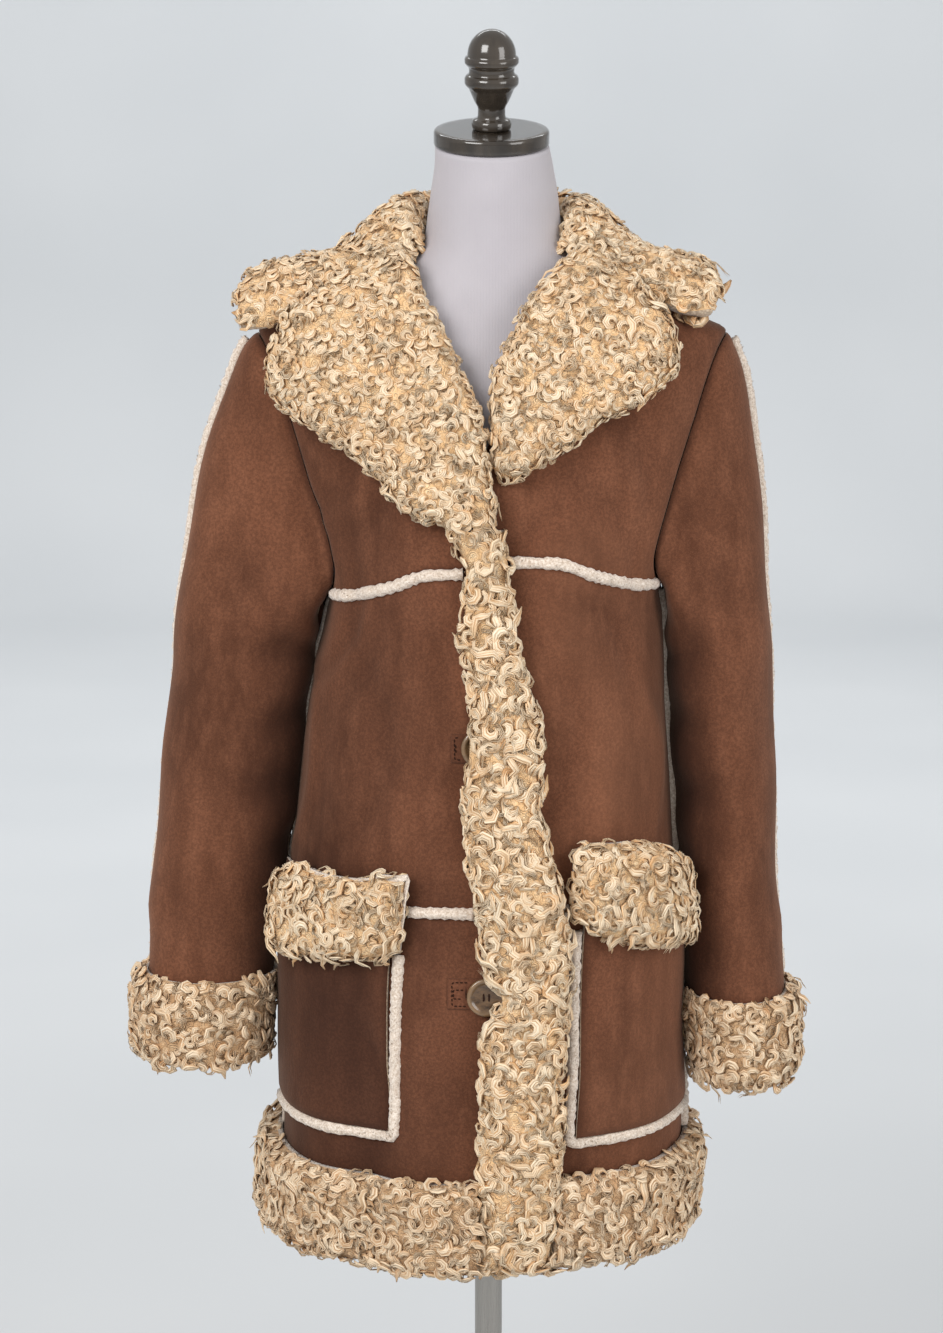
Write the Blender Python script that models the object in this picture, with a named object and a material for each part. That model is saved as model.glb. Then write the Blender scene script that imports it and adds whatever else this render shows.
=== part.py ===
"""Shearling coat, worn on a limbless dress form that stands on a pole and a round base.

Metres, +Z up, the origin under the middle of the base; the coat's front faces -Y.
Right and left are the wearer's: the wearer's right side lies at -X.

The coat's panels are walls of one thickness laid on a body surface, whose level rings
come from the BODY table.  A place on that surface is a pair (angle, z): the compass
angle is 0 at the wearer's left side, -90 degrees at the centre front, +90 at the centre
back.  A panel is a four sided patch between seam lines; fur is a pad raised from the
same surface; the sleeves are lofted from the armholes to rings of their own.
"""
from collections import namedtuple

import bpy
import numpy as np

PI = np.pi
LEFT = 1
RIGHT = -1

# ---------------------------------------------------------------- driving sizes
WALL = 0.0040            # suede with the clipped wool on its inner side
SEAM = 0.0003            # free space between two pieces at a seam
REST = 0.0009            # free space under a piece that lies on a panel
LAP = WALL + 0.0012      # how far the right front stands off where it laps the left
LAP_RAMP = 0.055         # length over which the right front rises onto the lap
LAP_AHEAD = 0.022        # the rise is complete this far outside the left front's edge
ARMHOLE_GAP = 0.0014     # the sleeve starts that far outside the armhole

HEM_Z = 0.570            # lower edge of the suede panels
FUR_HEM_Z = 0.566        # lowest fur
FUR_HEM_TOP = 0.643
HIP_Z = 0.872            # seam between body and skirt panels
NECK_Z = 1.402           # neckline where the shoulder seams end
TIP_Z = 1.335            # shoulder tip, top of the armhole
SIDE_TURN = np.radians(-3.0)   # side seams lie a little forward of the side

FUR = 0.024              # height of the long lambskin on lapels, band and pockets
HEM_FUR = 0.020
CUFF_FUR = 0.018
COLLAR_FUR = 0.026
TRIM_WIDTH = 0.009       # exposed seam allowance, clipped wool outwards
TRIM_HEIGHT = 0.0052

POLE_RADIUS = 0.0120
BASE_RADIUS = 0.170
BASE_HEIGHT = 0.010
FORM_FOOT_Z = 0.800      # lower end of the torso
PLATE_RADIUS = 0.0478
PLATE_HEIGHT = 0.0125
PLATE_TOP = np.array([0.0015, -0.0040, 1.5010])
PLATE_TILT = np.radians(11.4)   # the neck is cut sloping down to the front

SUEDE = (0.19, 0.078, 0.042)
FLEECE = (0.72, 0.50, 0.29)
CLIPPED = (0.66, 0.55, 0.45)
JERSEY = (0.72, 0.70, 0.73)
DARK_WOOD = (0.045, 0.036, 0.027)
STEEL = (0.42, 0.40, 0.37)
HORN = (0.16, 0.085, 0.040)

# ---------------------------------------------------------------- body surface
Ring = namedtuple("Ring", "z half_width front back centre_x power")
BODY = [
    Ring(0.560, 0.1720, 0.150, 0.146, -0.0095, 2.3),
    Ring(0.660, 0.1730, 0.150, 0.147, -0.0070, 2.3),
    Ring(0.800, 0.1715, 0.149, 0.145, -0.0070, 2.3),
    Ring(0.887, 0.1635, 0.145, 0.139, -0.0050, 2.3),
    Ring(0.964, 0.1560, 0.139, 0.131, -0.0035, 2.3),
    Ring(1.055, 0.1460, 0.131, 0.121, 0.0000, 2.3),
    Ring(1.120, 0.1395, 0.127, 0.118, 0.0030, 2.3),
    Ring(1.155, 0.1470, 0.125, 0.119, 0.0030, 2.3),
    Ring(1.205, 0.1610, 0.121, 0.119, 0.0025, 2.3),
    Ring(1.285, 0.1830, 0.107, 0.112, 0.0025, 2.25),
    Ring(1.335, 0.1955, 0.088, 0.097, 0.0025, 2.2),
    Ring(1.350, 0.1665, 0.082, 0.090, 0.0025, 2.15),
    Ring(1.370, 0.1280, 0.074, 0.080, 0.0025, 2.1),
    Ring(1.385, 0.0990, 0.067, 0.071, 0.0030, 2.05),
    Ring(1.402, 0.0660, 0.060, 0.062, 0.0030, 2.0),
]

# Soft upright folds of the skirt: outward (+) or inward (-) depth at the hem.
Fold = namedtuple("Fold", "angle width depth top")
FOLDS = [
    Fold(-128, 9, -0.0050, 1.12),
    Fold(-111, 7, 0.0030, 1.14),
    Fold(-56, 10, -0.0030, 1.02),
    Fold(-34, 9, 0.0030, 0.95),
    Fold(28, 12, 0.0040, 1.00),
    Fold(58, 11, -0.0050, 1.08),
    Fold(92, 12, 0.0045, 1.12),
    Fold(121, 10, -0.0050, 1.06),
    Fold(150, 11, 0.0040, 0.98),
]

# Height of the chest seam by the turn forward from the side seam.
Chest = namedtuple("Chest", "turn z")
CHEST = [Chest(-110, 1.153), Chest(-68, 1.1505), Chest(-52, 1.1375), Chest(-30, 1.125), Chest(0, 1.119)]
CHEST_LEFT_RISE = 0.009  # the left front hangs that much higher
CHEST_BACK_RISE = 0.012  # and the back seam arches up to its middle

# Armhole: turn from the side and height as a share of the way up to the shoulder tip.
Armhole = namedtuple("Armhole", "along front_turn back_turn rise")
ARMHOLE = [
    Armhole(0.00, -3, -3, 0.00),
    Armhole(0.15, -17, 11, 0.02),
    Armhole(0.30, -25, 20, 0.13),
    Armhole(0.50, -21, 19, 0.36),
    Armhole(0.75, -15, 15, 0.70),
    Armhole(0.90, -10, 10, 0.920),
    Armhole(0.96, -5.5, 5.5, 0.982),
    Armhole(1.00, 0, 0, 1.00),
]

# Front edges: below the break they lap, above it they follow the roll of the lapels.
Edge = namedtuple("Edge", "z x")
OVER_EDGE = [
    Edge(0.560, 0.018), Edge(0.750, 0.024), Edge(0.850, 0.025), Edge(0.920, 0.016),
    Edge(1.000, 0.011), Edge(1.100, 0.001), Edge(1.153, -0.002),
]
UNDER_EDGE = [Edge(0.560, -0.028), Edge(0.850, -0.028), Edge(1.162, -0.034)]
OVER_ROLL = [
    Edge(1.153, -0.002), Edge(1.200, -0.004), Edge(1.240, -0.006), Edge(1.270, -0.010),
    Edge(1.293, -0.020), Edge(1.330, -0.037), Edge(1.350, -0.048), Edge(1.375, -0.060),
]
UNDER_ROLL = [
    Edge(1.162, -0.034), Edge(1.200, -0.026), Edge(1.235, -0.008), Edge(1.270, 0.003),
    Edge(1.300, 0.007), Edge(1.322, 0.014), Edge(1.342, 0.026), Edge(1.366, 0.038), Edge(1.380, 0.050),
]

# Fur band down the front edge: its two sides by height.
Band = namedtuple("Band", "z left right")
BAND = [
    Band(0.566, -0.0080, 0.0450), Band(0.645, -0.0096, 0.0547), Band(0.750, -0.0080, 0.0580),
    Band(0.833, -0.0065, 0.0620), Band(0.883, -0.0114, 0.0550), Band(0.928, -0.0186, 0.0450),
    Band(0.961, -0.0202, 0.0390), Band(1.000, -0.0170, 0.0400), Band(1.054, -0.0146, 0.0302),
    Band(1.098, -0.0218, 0.0213), Band(1.150, -0.0195, 0.0156), Band(1.186, -0.0340, 0.0110),
]

# Lapel outlines seen from the front, from the collar notch down to the band.
Spot = namedtuple("Spot", "x z")
LAPEL_RIGHT_OUTER = [
    Spot(-0.1510, 1.3450), Spot(-0.1670, 1.3300), Spot(-0.1730, 1.3130), Spot(-0.1690, 1.2920),
    Spot(-0.1505, 1.2724), Spot(-0.1129, 1.2441), Spot(-0.0889, 1.2255), Spot(-0.0728, 1.2076),
    Spot(-0.0486, 1.1935), Spot(-0.0350, 1.1900),
]
LAPEL_RIGHT_INNER = [
    Spot(-0.0620, 1.3960), Spot(-0.0575, 1.3830), Spot(-0.0520, 1.3670), Spot(-0.0425, 1.3490),
    Spot(-0.0330, 1.3300), Spot(-0.0240, 1.3080), Spot(-0.0155, 1.2915), Spot(-0.0070, 1.2760),
    Spot(-0.0035, 1.2500), Spot(0.0060, 1.1900),
]
LAPEL_LEFT_OUTER = [
    Spot(0.1240, 1.3590), Spot(0.1420, 1.3400), Spot(0.1491, 1.3200), Spot(0.1445, 1.3040),
    Spot(0.1191, 1.2840), Spot(0.0975, 1.2745), Spot(0.0720, 1.2574), Spot(0.0440, 1.2400),
    Spot(0.0170, 1.2255),
]
LAPEL_LEFT_INNER = [
    Spot(0.0620, 1.3980), Spot(0.0490, 1.3830), Spot(0.0300, 1.3620), Spot(0.0210, 1.3410),
    Spot(0.0090, 1.3200), Spot(0.0020, 1.3020), Spot(0.0005, 1.2850), Spot(0.0020, 1.2500),
    Spot(0.0070, 1.2270),
]

# Collar leaf: four lines of its middle surface, each from the centre back round to the
# leaf's front end: along neck and gorge, along the crest of the roll, on the fall and
# along the outer edge.
Place = namedtuple("Place", "x y z")
LEAF_LINES = (0.0, 0.25, 0.60, 1.0)
LEAF_RIGHT = [
    [Place(0.0035, 0.0570, 1.4330), Place(-0.0280, 0.0500, 1.4330), Place(-0.0490, 0.0300, 1.4330),
     Place(-0.0580, 0.0020, 1.4310), Place(-0.0691, -0.0357, 1.4080), Place(-0.1176, -0.0423, 1.3798),
     Place(-0.1661, -0.0521, 1.3514)],
    [Place(0.0035, 0.0770, 1.4350), Place(-0.0390, 0.0680, 1.4350), Place(-0.0650, 0.0430, 1.4350),
     Place(-0.0790, 0.0060, 1.4320), Place(-0.0960, -0.0260, 1.4010), Place(-0.1400, -0.0390, 1.3820),
     Place(-0.1740, -0.0540, 1.3460)],
    [Place(0.0020, 0.0990, 1.4000), Place(-0.0550, 0.0920, 1.3970), Place(-0.0960, 0.0680, 1.3920),
     Place(-0.1180, 0.0300, 1.3890), Place(-0.1550, -0.0130, 1.3870), Place(-0.1780, -0.0350, 1.3780),
     Place(-0.1880, -0.0570, 1.3420)],
    [Place(0.0000, 0.1100, 1.3580), Place(-0.0700, 0.1070, 1.3570), Place(-0.1300, 0.0870, 1.3610),
     Place(-0.1730, 0.0480, 1.3720), Place(-0.2000, 0.0040, 1.3770), Place(-0.2070, -0.0320, 1.3620),
     Place(-0.2030, -0.0600, 1.3440)],
]
LEAF_LEFT = [
    [Place(0.0035, 0.0570, 1.4330), Place(0.0350, 0.0500, 1.4330), Place(0.0560, 0.0300, 1.4330),
     Place(0.0640, 0.0020, 1.4320), Place(0.0691, -0.0388, 1.4100), Place(0.1026, -0.0451, 1.3886),
     Place(0.1363, -0.0515, 1.3673)],
    [Place(0.0035, 0.0770, 1.4350), Place(0.0450, 0.0680, 1.4350), Place(0.0700, 0.0430, 1.4350),
     Place(0.0820, 0.0060, 1.4310), Place(0.0980, -0.0270, 1.4050), Place(0.1220, -0.0410, 1.3890),
     Place(0.1450, -0.0550, 1.3610)],
    [Place(0.0020, 0.0990, 1.4000), Place(0.0560, 0.0920, 1.3980), Place(0.0960, 0.0680, 1.3940),
     Place(0.1180, 0.0300, 1.3950), Place(0.1450, -0.0080, 1.3930), Place(0.1600, -0.0330, 1.3830),
     Place(0.1620, -0.0580, 1.3550)],
    [Place(0.0000, 0.1100, 1.3580), Place(0.0660, 0.1070, 1.3590), Place(0.1220, 0.0880, 1.3660),
     Place(0.1600, 0.0520, 1.3780), Place(0.1850, 0.0100, 1.3820), Place(0.1900, -0.0300, 1.3700),
     Place(0.1810, -0.0600, 1.3570)],
]
# The stand: a low wall round the neck that carries the leaf.
Stand = namedtuple("Stand", "z half_width half_depth")
STAND = [Stand(1.4026, 0.0662, 0.0636), Stand(1.4120, 0.0664, 0.0638), Stand(1.4175, 0.0666, 0.0642)]
STAND_WALL = 0.0030
STAND_FRONT = np.radians(-5.0)     # compass angle of its front end at the wearer's left

# Sleeves below the cap: level rings, half width across the body, half depth, and how
# much fuller the side is that hangs against the body.
Arm = namedtuple("Arm", "z centre_x centre_y half_width half_depth inner")
SLEEVE_RIGHT = [
    Arm(1.055, -0.2110, 0.000, 0.0585, 0.062, 0.0010), Arm(1.010, -0.2180, 0.000, 0.0565, 0.061, 0.0030),
    Arm(0.965, -0.2260, -0.002, 0.0545, 0.060, 0.0066), Arm(0.920, -0.2330, -0.004, 0.0525, 0.058, 0.0100),
    Arm(0.840, -0.2410, -0.010, 0.0500, 0.055, 0.0098), Arm(0.780, -0.2440, -0.016, 0.0495, 0.052, 0.0034),
    Arm(0.719, -0.2460, -0.022, 0.0495, 0.050, 0.0040),
]
SLEEVE_LEFT = [
    Arm(1.055, 0.1975, 0.000, 0.0430, 0.070, 0.0030), Arm(1.010, 0.2025, 0.000, 0.0405, 0.069, 0.0072),
    Arm(0.965, 0.2065, -0.002, 0.0390, 0.067, 0.0092), Arm(0.920, 0.2085, -0.004, 0.0380, 0.065, 0.0088),
    Arm(0.840, 0.2120, -0.010, 0.0370, 0.062, 0.0068), Arm(0.780, 0.2185, -0.016, 0.0360, 0.060, 0.0050),
    Arm(0.702, 0.2195, -0.022, 0.0360, 0.058, 0.0050),
]
SLEEVES = {RIGHT: SLEEVE_RIGHT, LEFT: SLEEVE_LEFT}
CAP_REACH = {RIGHT: 0.085, LEFT: 0.060}    # how far the sleeve head swings out
UNDERARM_STEEP = 1.4                       # the sleeve leaves the underarm nearly straight down
OUTSEAM = np.radians(20.0)                 # the sleeve's long seam lies behind its outside
INNER_AHEAD = 0.06                         # the fuller side lies a little to the front
INNER_SPAN = 0.30
CUFF_Z = {RIGHT: (0.716, 0.789), LEFT: (0.699, 0.774)}
CUFF_INSIDE = 0.0060                       # fur of the cuff pressed flat towards the body

# Patch pockets with turned fur tops.
POCKET_INNER_X = {RIGHT: (-0.0777, -0.0715), LEFT: (0.0667, 0.0725)}   # foot, head
POCKET_FOOT_Z = {RIGHT: 0.678, LEFT: 0.672}
POCKET_HEAD_Z = 0.888
POCKET_SIDE_TURN = np.radians(-8.0)
Flap = namedtuple("Flap", "along foot head")
POCKET_FUR = {
    RIGHT: [Flap(0.0, 0.836, 0.907), Flap(0.35, 0.829, 0.896), Flap(1.0, 0.820, 0.893)],
    LEFT: [Flap(0.0, 0.864, 0.928), Flap(0.35, 0.842, 0.926), Flap(1.0, 0.824, 0.902)],
}
POCKET_FUR_INNER_X = {RIGHT: -0.0675, LEFT: 0.0660}
POCKET_FUR_TURN = np.radians(-21.0)

BUTTON_RADIUS = 0.0163
Button = namedtuple("Button", "name x z")
BUTTONS = [Button("button_upper", -0.0075, 1.0085), Button("button_lower", -0.0030, 0.8035)]


# ---------------------------------------------------------------- curves
def through(at, knots, values):
    """Smooth curve through the knots that never overshoots them (monotone cubic)."""
    knots = np.asarray(knots, float)
    values = np.asarray(values, float)
    span = np.diff(knots)
    rise = np.diff(values) / span
    same = rise[:-1] * rise[1:] > 0
    slope = np.empty_like(values)
    slope[0] = rise[0]
    slope[-1] = rise[-1]
    total = np.where(same, rise[:-1] + rise[1:], 1.0)
    slope[1:-1] = np.where(same, 2 * rise[:-1] * rise[1:] / total, 0.0)
    at = np.clip(at, knots[0], knots[-1])
    i = np.clip(np.searchsorted(knots, at, side="right") - 1, 0, len(span) - 1)
    t = (at - knots[i]) / span[i]
    return ((1 + 2 * t) * (1 - t) ** 2 * values[i] + t * (1 - t) ** 2 * span[i] * slope[i]
            + t * t * (3 - 2 * t) * values[i + 1] - t * t * (1 - t) * span[i] * slope[i + 1])


def column(table, name):
    """One named column of a table."""
    return [getattr(row, name) for row in table]


def read(table, at, key, name):
    """Smooth value of a table's column at a place along its key column."""
    return through(at, column(table, key), column(table, name))


def ease(t):
    """Smooth step from 0 to 1."""
    t = np.clip(t, 0.0, 1.0)
    return t * t * (3 - 2 * t)


def even(count):
    """Shares 0..1 in equal steps."""
    return np.linspace(0.0, 1.0, count + 1)


def ends(count):
    """Shares 0..1 that crowd a little towards both ends."""
    return 0.5 * even(count) + 0.5 * (0.5 - 0.5 * np.cos(PI * even(count)))


# ---------------------------------------------------------------- body surface
def drape(angle, z):
    """Outward push of the soft folds, growing from each fold's top to the hem."""
    push = np.zeros(np.broadcast(angle, z).shape)
    for fold in FOLDS:
        away = np.degrees(angle) - fold.angle
        away = (away + 180.0) % 360.0 - 180.0
        grow = ease((fold.top - z) / (fold.top - HEM_Z))
        push = push + fold.depth * grow * np.exp(-(away / fold.width) ** 2)
    return push


def body(angle, z):
    """Point of the coat's outer surface."""
    angle, z = np.broadcast_arrays(np.asarray(angle, float), np.asarray(z, float))
    half = read(BODY, z, "z", "half_width")
    front = read(BODY, z, "z", "front")
    back = read(BODY, z, "z", "back")
    middle = read(BODY, z, "z", "centre_x")
    power = read(BODY, z, "z", "power")
    c = np.cos(angle)
    s = np.sin(angle)
    deep = np.where(s < 0, front, back)
    reach = (np.abs(c / half) ** power + np.abs(s / deep) ** power) ** (-1 / power)
    reach = reach + drape(angle, z)
    return np.stack([middle + reach * c, reach * s, z], -1)


def outward(angle, z):
    """Unit normal of the body surface."""
    step = 1e-4
    across = body(angle + step, z) - body(angle - step, z)
    upward = body(angle, np.asarray(z) + step) - body(angle, np.asarray(z) - step)
    normal = np.cross(across, upward)
    return normal / np.linalg.norm(normal, axis=-1, keepdims=True)


def front_angle(x, z):
    """Compass angle at which the front of the ring at z has that x."""
    half = read(BODY, z, "z", "half_width")
    front = read(BODY, z, "z", "front")
    power = read(BODY, z, "z", "power")
    off = x - read(BODY, z, "z", "centre_x")
    y = -front * (1 - np.clip(np.abs(off) / half, 0, 1) ** power) ** (1 / power)
    return np.arctan2(y, off)


def turned(side, turn, behind=False):
    """Compass angle of a turn from the side seam line: negative turns are forward."""
    if side == LEFT:
        return np.asarray(turn, float)
    return (PI if behind else -PI) - np.asarray(turn, float)


def lap(angle, z):
    """How far the right front stands off the body to lie on the left front."""
    x = body(angle, z)[..., 0]
    edge = np.where(z < UNDER_EDGE[-1].z, read(UNDER_EDGE, z, "z", "x"), read(UNDER_ROLL, z, "z", "x"))
    return LAP * ease((x - edge + LAP_AHEAD + LAP_RAMP) / LAP_RAMP)


# ---------------------------------------------------------------- seam lines, each a function of 0..1
def route(angles, heights):
    """Smooth line through places (angle, z), run at even speed."""
    angles = np.asarray(angles, float)
    heights = np.asarray(heights, float)
    places = body(angles, heights)
    run = np.concatenate([[0.0], np.cumsum(np.linalg.norm(np.diff(places, axis=0), axis=1))])
    run = run / run[-1]

    def line(t):
        return np.stack([through(t, run, angles), through(t, run, heights)], -1)
    return line


def chest_z(side, turn):
    rise = CHEST_LEFT_RISE if side == LEFT else 0.0
    return read(CHEST, np.degrees(turn), "turn", "z") + rise


def front_seam(side, edge_x, height):
    """Level or chest seam from the front edge to the side seam."""
    def line(t):
        start = front_angle(edge_x, height(side, -PI / 2))
        stop = turned(side, SIDE_TURN)
        angle = start + (stop - start) * t
        turn = angle if side == LEFT else -PI - angle
        return np.stack([angle, height(side, turn)], -1)
    return line


def back_seam(height):
    """Seam across the back from the right side seam to the left one."""
    def line(t):
        start = turned(RIGHT, SIDE_TURN, behind=True)
        angle = start + (SIDE_TURN - start) * t
        return np.stack([angle, height(t)], -1)
    return line


def level(z):
    """Height function of a level seam."""
    return lambda side, turn: np.full(np.shape(turn), z)


def back_chest_z(t):
    ends_z = (1 - t) * chest_z(RIGHT, SIDE_TURN) + t * chest_z(LEFT, SIDE_TURN)
    return ends_z + CHEST_BACK_RISE * np.sin(PI * t)


def upright(start, stop, angle_of):
    """Line from one height to another at the angle that a function of z gives."""
    def line(t):
        z = start + (stop - start) * t
        return np.stack([np.broadcast_to(angle_of(z), z.shape), z], -1)
    return line


def armhole(side, behind):
    """Front or back half of the armhole from the side seam up to the shoulder tip."""
    foot = chest_z(side, SIDE_TURN)

    def line(t):
        turn = np.radians(read(ARMHOLE, t, "along", "back_turn" if behind else "front_turn"))
        z = foot + (TIP_Z - foot) * read(ARMHOLE, t, "along", "rise")
        return np.stack([turned(side, turn, behind), z], -1)
    return line


def shoulder(side):
    """Shoulder seam from the neckline to the tip."""
    def line(t):
        angle = np.full(np.shape(t), float(turned(side, 0.0)))
        return np.stack([angle, NECK_Z + (TIP_Z - NECK_Z) * t], -1)
    return line


def roll_line(side, table):
    """Front edge above the chest seam: up the lapel's roll and round to the shoulder seam."""
    z = np.array(column(table, "z"))
    angles = list(front_angle(np.array(column(table, "x")), z))
    last = angles[-1] if side == LEFT else -PI - angles[-1]
    angles += [float(turned(side, last * 0.6)), float(turned(side, last * 0.28)), float(turned(side, 0.0))]
    heights = list(z) + [NECK_Z - 0.0105, NECK_Z - 0.0030, NECK_Z]
    return route(angles, heights)


def patch(foot, head, start, stop, across, along):
    """Grid of places between four seam lines (rows run along, columns across)."""
    s = across[None, :, None]
    t = along[:, None, None]
    low = foot(across)[None]
    high = head(across)[None]
    near = start(along)[:, None]
    far = stop(along)[:, None]
    corners = ((1 - s) * (1 - t) * low[:, :1] + s * (1 - t) * low[:, -1:]
               + (1 - s) * t * high[:, :1] + s * t * high[:, -1:])
    return (1 - t) * low + t * high + (1 - s) * near + s * far - corners


# ---------------------------------------------------------------- solids
def material(name, colour, roughness, metallic=0.0):
    made = bpy.data.materials.new(name)
    made.use_nodes = True
    shader = made.node_tree.nodes["Principled BSDF"]
    shader.inputs["Base Color"].default_value = (*colour, 1.0)
    shader.inputs["Roughness"].default_value = roughness
    shader.inputs["Metallic"].default_value = metallic
    made.diffuse_color = (*colour, 1.0)
    return made


def add_solid(name, points, faces, finish):
    """Mesh object with smooth sides and sharp corners; its faces are turned outwards."""
    points = np.asarray(points, float)
    mesh = bpy.data.meshes.new(name)
    volume = 0.0
    for face in faces:
        first = points[face[0]]
        for one, two in zip(face[1:-1], face[2:]):
            volume += np.dot(first, np.cross(points[one], points[two]))
    if volume < 0:
        faces = [face[::-1] for face in faces]
    mesh.from_pydata([tuple(p) for p in points], [], [tuple(int(i) for i in f) for f in faces])
    mesh.shade_smooth()
    mesh.set_sharp_from_angle(angle=np.radians(40))
    mesh.materials.append(material(name + "_finish", *finish))
    item = bpy.data.objects.new(name, mesh)
    bpy.context.scene.collection.objects.link(item)
    return item


def trimmed(grid, gap=SEAM / 2):
    """Grid of points with its four borders drawn in by the gap."""
    grid = grid.copy()
    for edge, inner in ((0, 1), (-1, -2)):
        for rows in (grid, grid.swapaxes(0, 1)):
            away = rows[inner] - rows[edge]
            rows[edge] += away * gap / np.linalg.norm(away, axis=-1, keepdims=True)
    return grid


def wall(name, base, normal, low, high, finish, ring=False):
    """Closed wall between base + low and base + high along the normals.

    With ring=True the columns run round and close on themselves.
    """
    rows, columns = base.shape[:2]
    low = np.broadcast_to(low, (rows, columns))[..., None]
    high = np.broadcast_to(high, (rows, columns))[..., None]
    points = np.concatenate([(base + normal * low).reshape(-1, 3), (base + normal * high).reshape(-1, 3)])
    index = np.arange(rows * columns).reshape(rows, columns)
    top = index + rows * columns
    turn = columns if ring else columns - 1
    faces = []
    for j in range(turn):
        k = (j + 1) % columns
        for i in range(rows - 1):
            faces.append((index[i, j], index[i + 1, j], index[i + 1, k], index[i, k]))
            faces.append((top[i, k], top[i + 1, k], top[i + 1, j], top[i, j]))
        faces.append((index[0, j], index[0, k], top[0, k], top[0, j]))
        faces.append((top[-1, j], top[-1, k], index[-1, k], index[-1, j]))
    if not ring:
        for i in range(rows - 1):
            faces.append((top[i, 0], top[i + 1, 0], index[i + 1, 0], index[i, 0]))
            faces.append((index[i, -1], index[i + 1, -1], top[i + 1, -1], top[i, -1]))
    return add_solid(name, points, faces, finish)


def panel(name, places, lifted=None):
    """Suede panel: a wall inwards from the body surface."""
    base = trimmed(body(places[..., 0], places[..., 1]))
    lift = 0.0 if lifted is None else lifted(places[..., 0], places[..., 1])
    return wall(name, base, outward(places[..., 0], places[..., 1]), lift - WALL, lift, (SUEDE, 0.85))


def puff(base, height, edge, near=True, far=True, foot=True, head=True):
    """Heights of a pad: full in the middle, rounded down to `edge` at the chosen sides."""
    def rounded(grid, first, last):
        run = np.concatenate([np.zeros_like(grid[:1, :, 0]),
                              np.cumsum(np.linalg.norm(np.diff(grid, axis=0), axis=-1), axis=0)])
        share = np.ones_like(run)
        for wanted, away in ((first, run), (last, run[-1:] - run)):
            if wanted:
                share = share * np.sqrt(1 - (1 - np.clip(away / (0.9 * height), 0, 1)) ** 2)
        return share
    share = rounded(base, foot, head) * rounded(base.swapaxes(0, 1), near, far).T
    return edge + (height - edge) * share


def pad(name, places, height, low=REST, lifted=None, edge=0.006, **sides):
    """Fur pad on the body surface, or on the lap where `lifted` is given."""
    lift = 0.0 if lifted is None else lifted(places[..., 0], places[..., 1])
    base = body(places[..., 0], places[..., 1])
    top = puff(base, height, edge, **sides)
    return wall(name, base, outward(places[..., 0], places[..., 1]), lift + low, lift + top, (FLEECE, 0.95))


def strip(name, path, normal, width=TRIM_WIDTH, height=TRIM_HEIGHT, low=REST + 0.0003):
    """Half round strip of clipped wool along a path on a panel."""
    along = np.gradient(path, axis=0)
    sideways = np.cross(along, normal)
    sideways /= np.linalg.norm(sideways, axis=-1, keepdims=True)
    share = np.array([-1.0, 0.0, 1.0])
    base = path[:, None] + sideways[:, None] * (share * width / 2)[None, :, None]
    crown = np.array([0.0026, height, 0.0026])
    grid_normal = np.broadcast_to(normal[:, None], base.shape)
    return wall(name, base, grid_normal, low, np.broadcast_to(crown, base.shape[:2]), (CLIPPED, 0.95))


def surface_strip(name, line, count, lifted=None, **sizes):
    """Strip whose path is a seam line on the body surface."""
    places = line(even(count))
    path = body(places[:, 0], places[:, 1])
    normal = outward(places[:, 0], places[:, 1])
    if lifted is not None:
        path = path + normal * lifted(places[:, 0], places[:, 1])[:, None]
    return strip(name, path, normal, **sizes)


def lathe(name, profile, segments, finish, centre=(0, 0, 0), tilt=0.0):
    """Turned solid: profile rows of (radius, height) from foot to head on an axis that
    leans forward by the tilt; a radius of 0 closes an end."""
    around = 2 * PI * np.arange(segments) / segments
    points = []
    rings = []
    for radius, height in profile:
        if radius == 0:
            rings.append([len(points)] * segments)
            points.append((0.0, 0.0, height))
            continue
        rings.append(list(range(len(points), len(points) + segments)))
        points += [(radius * np.cos(a), radius * np.sin(a), height) for a in around]
    faces = []
    for lower, upper in zip(rings[:-1], rings[1:]):
        for j in range(segments):
            k = (j + 1) % segments
            corners = [lower[j], lower[k], upper[k], upper[j]]
            faces.append(tuple(dict.fromkeys(corners)))
    points = np.array(points)
    lean = np.array([[1, 0, 0], [0, np.cos(tilt), -np.sin(tilt)], [0, np.sin(tilt), np.cos(tilt)]])
    return add_solid(name, points @ lean.T + np.asarray(centre), faces, finish)


# ---------------------------------------------------------------- dress form
Inset = namedtuple("Inset", "z depth")
FORM_INSET = [
    Inset(0.800, 0.018), Inset(0.880, 0.024), Inset(0.950, 0.034), Inset(1.000, 0.034),
    Inset(1.050, 0.024), Inset(1.120, 0.011), Inset(1.200, 0.0080), Inset(1.300, WALL + 0.0048),
    Inset(1.335, WALL + 0.0064), Inset(1.370, WALL + 0.0042), Inset(1.402, WALL + 0.0034),
]
Neck = namedtuple("Neck", "z half_width half_depth centre_x centre_y tilt")
NECK = [
    Neck(1.3975, 0.0602, 0.0565, 0.0030, 0.0000, 0.0),
    Neck(1.4120, 0.0578, 0.0545, 0.0035, 0.0000, 0.0),
    Neck(1.4300, 0.0550, 0.0520, 0.0035, -0.0005, 2.0),
    Neck(1.4500, 0.0525, 0.0500, 0.0038, -0.0020, 5.0),
    Neck(1.4700, 0.0492, 0.0482, 0.0035, -0.0035, 9.0),
    Neck(1.4882, 0.0470, 0.0465, 0.0020, -0.0045, 11.4),
]
FORM_Z = [0.800, 0.860, 0.930, 1.000, 1.055, 1.110, 1.155, 1.205, 1.250, 1.285, 1.310, 1.328,
          1.340, 1.355, 1.370, 1.385]


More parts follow.
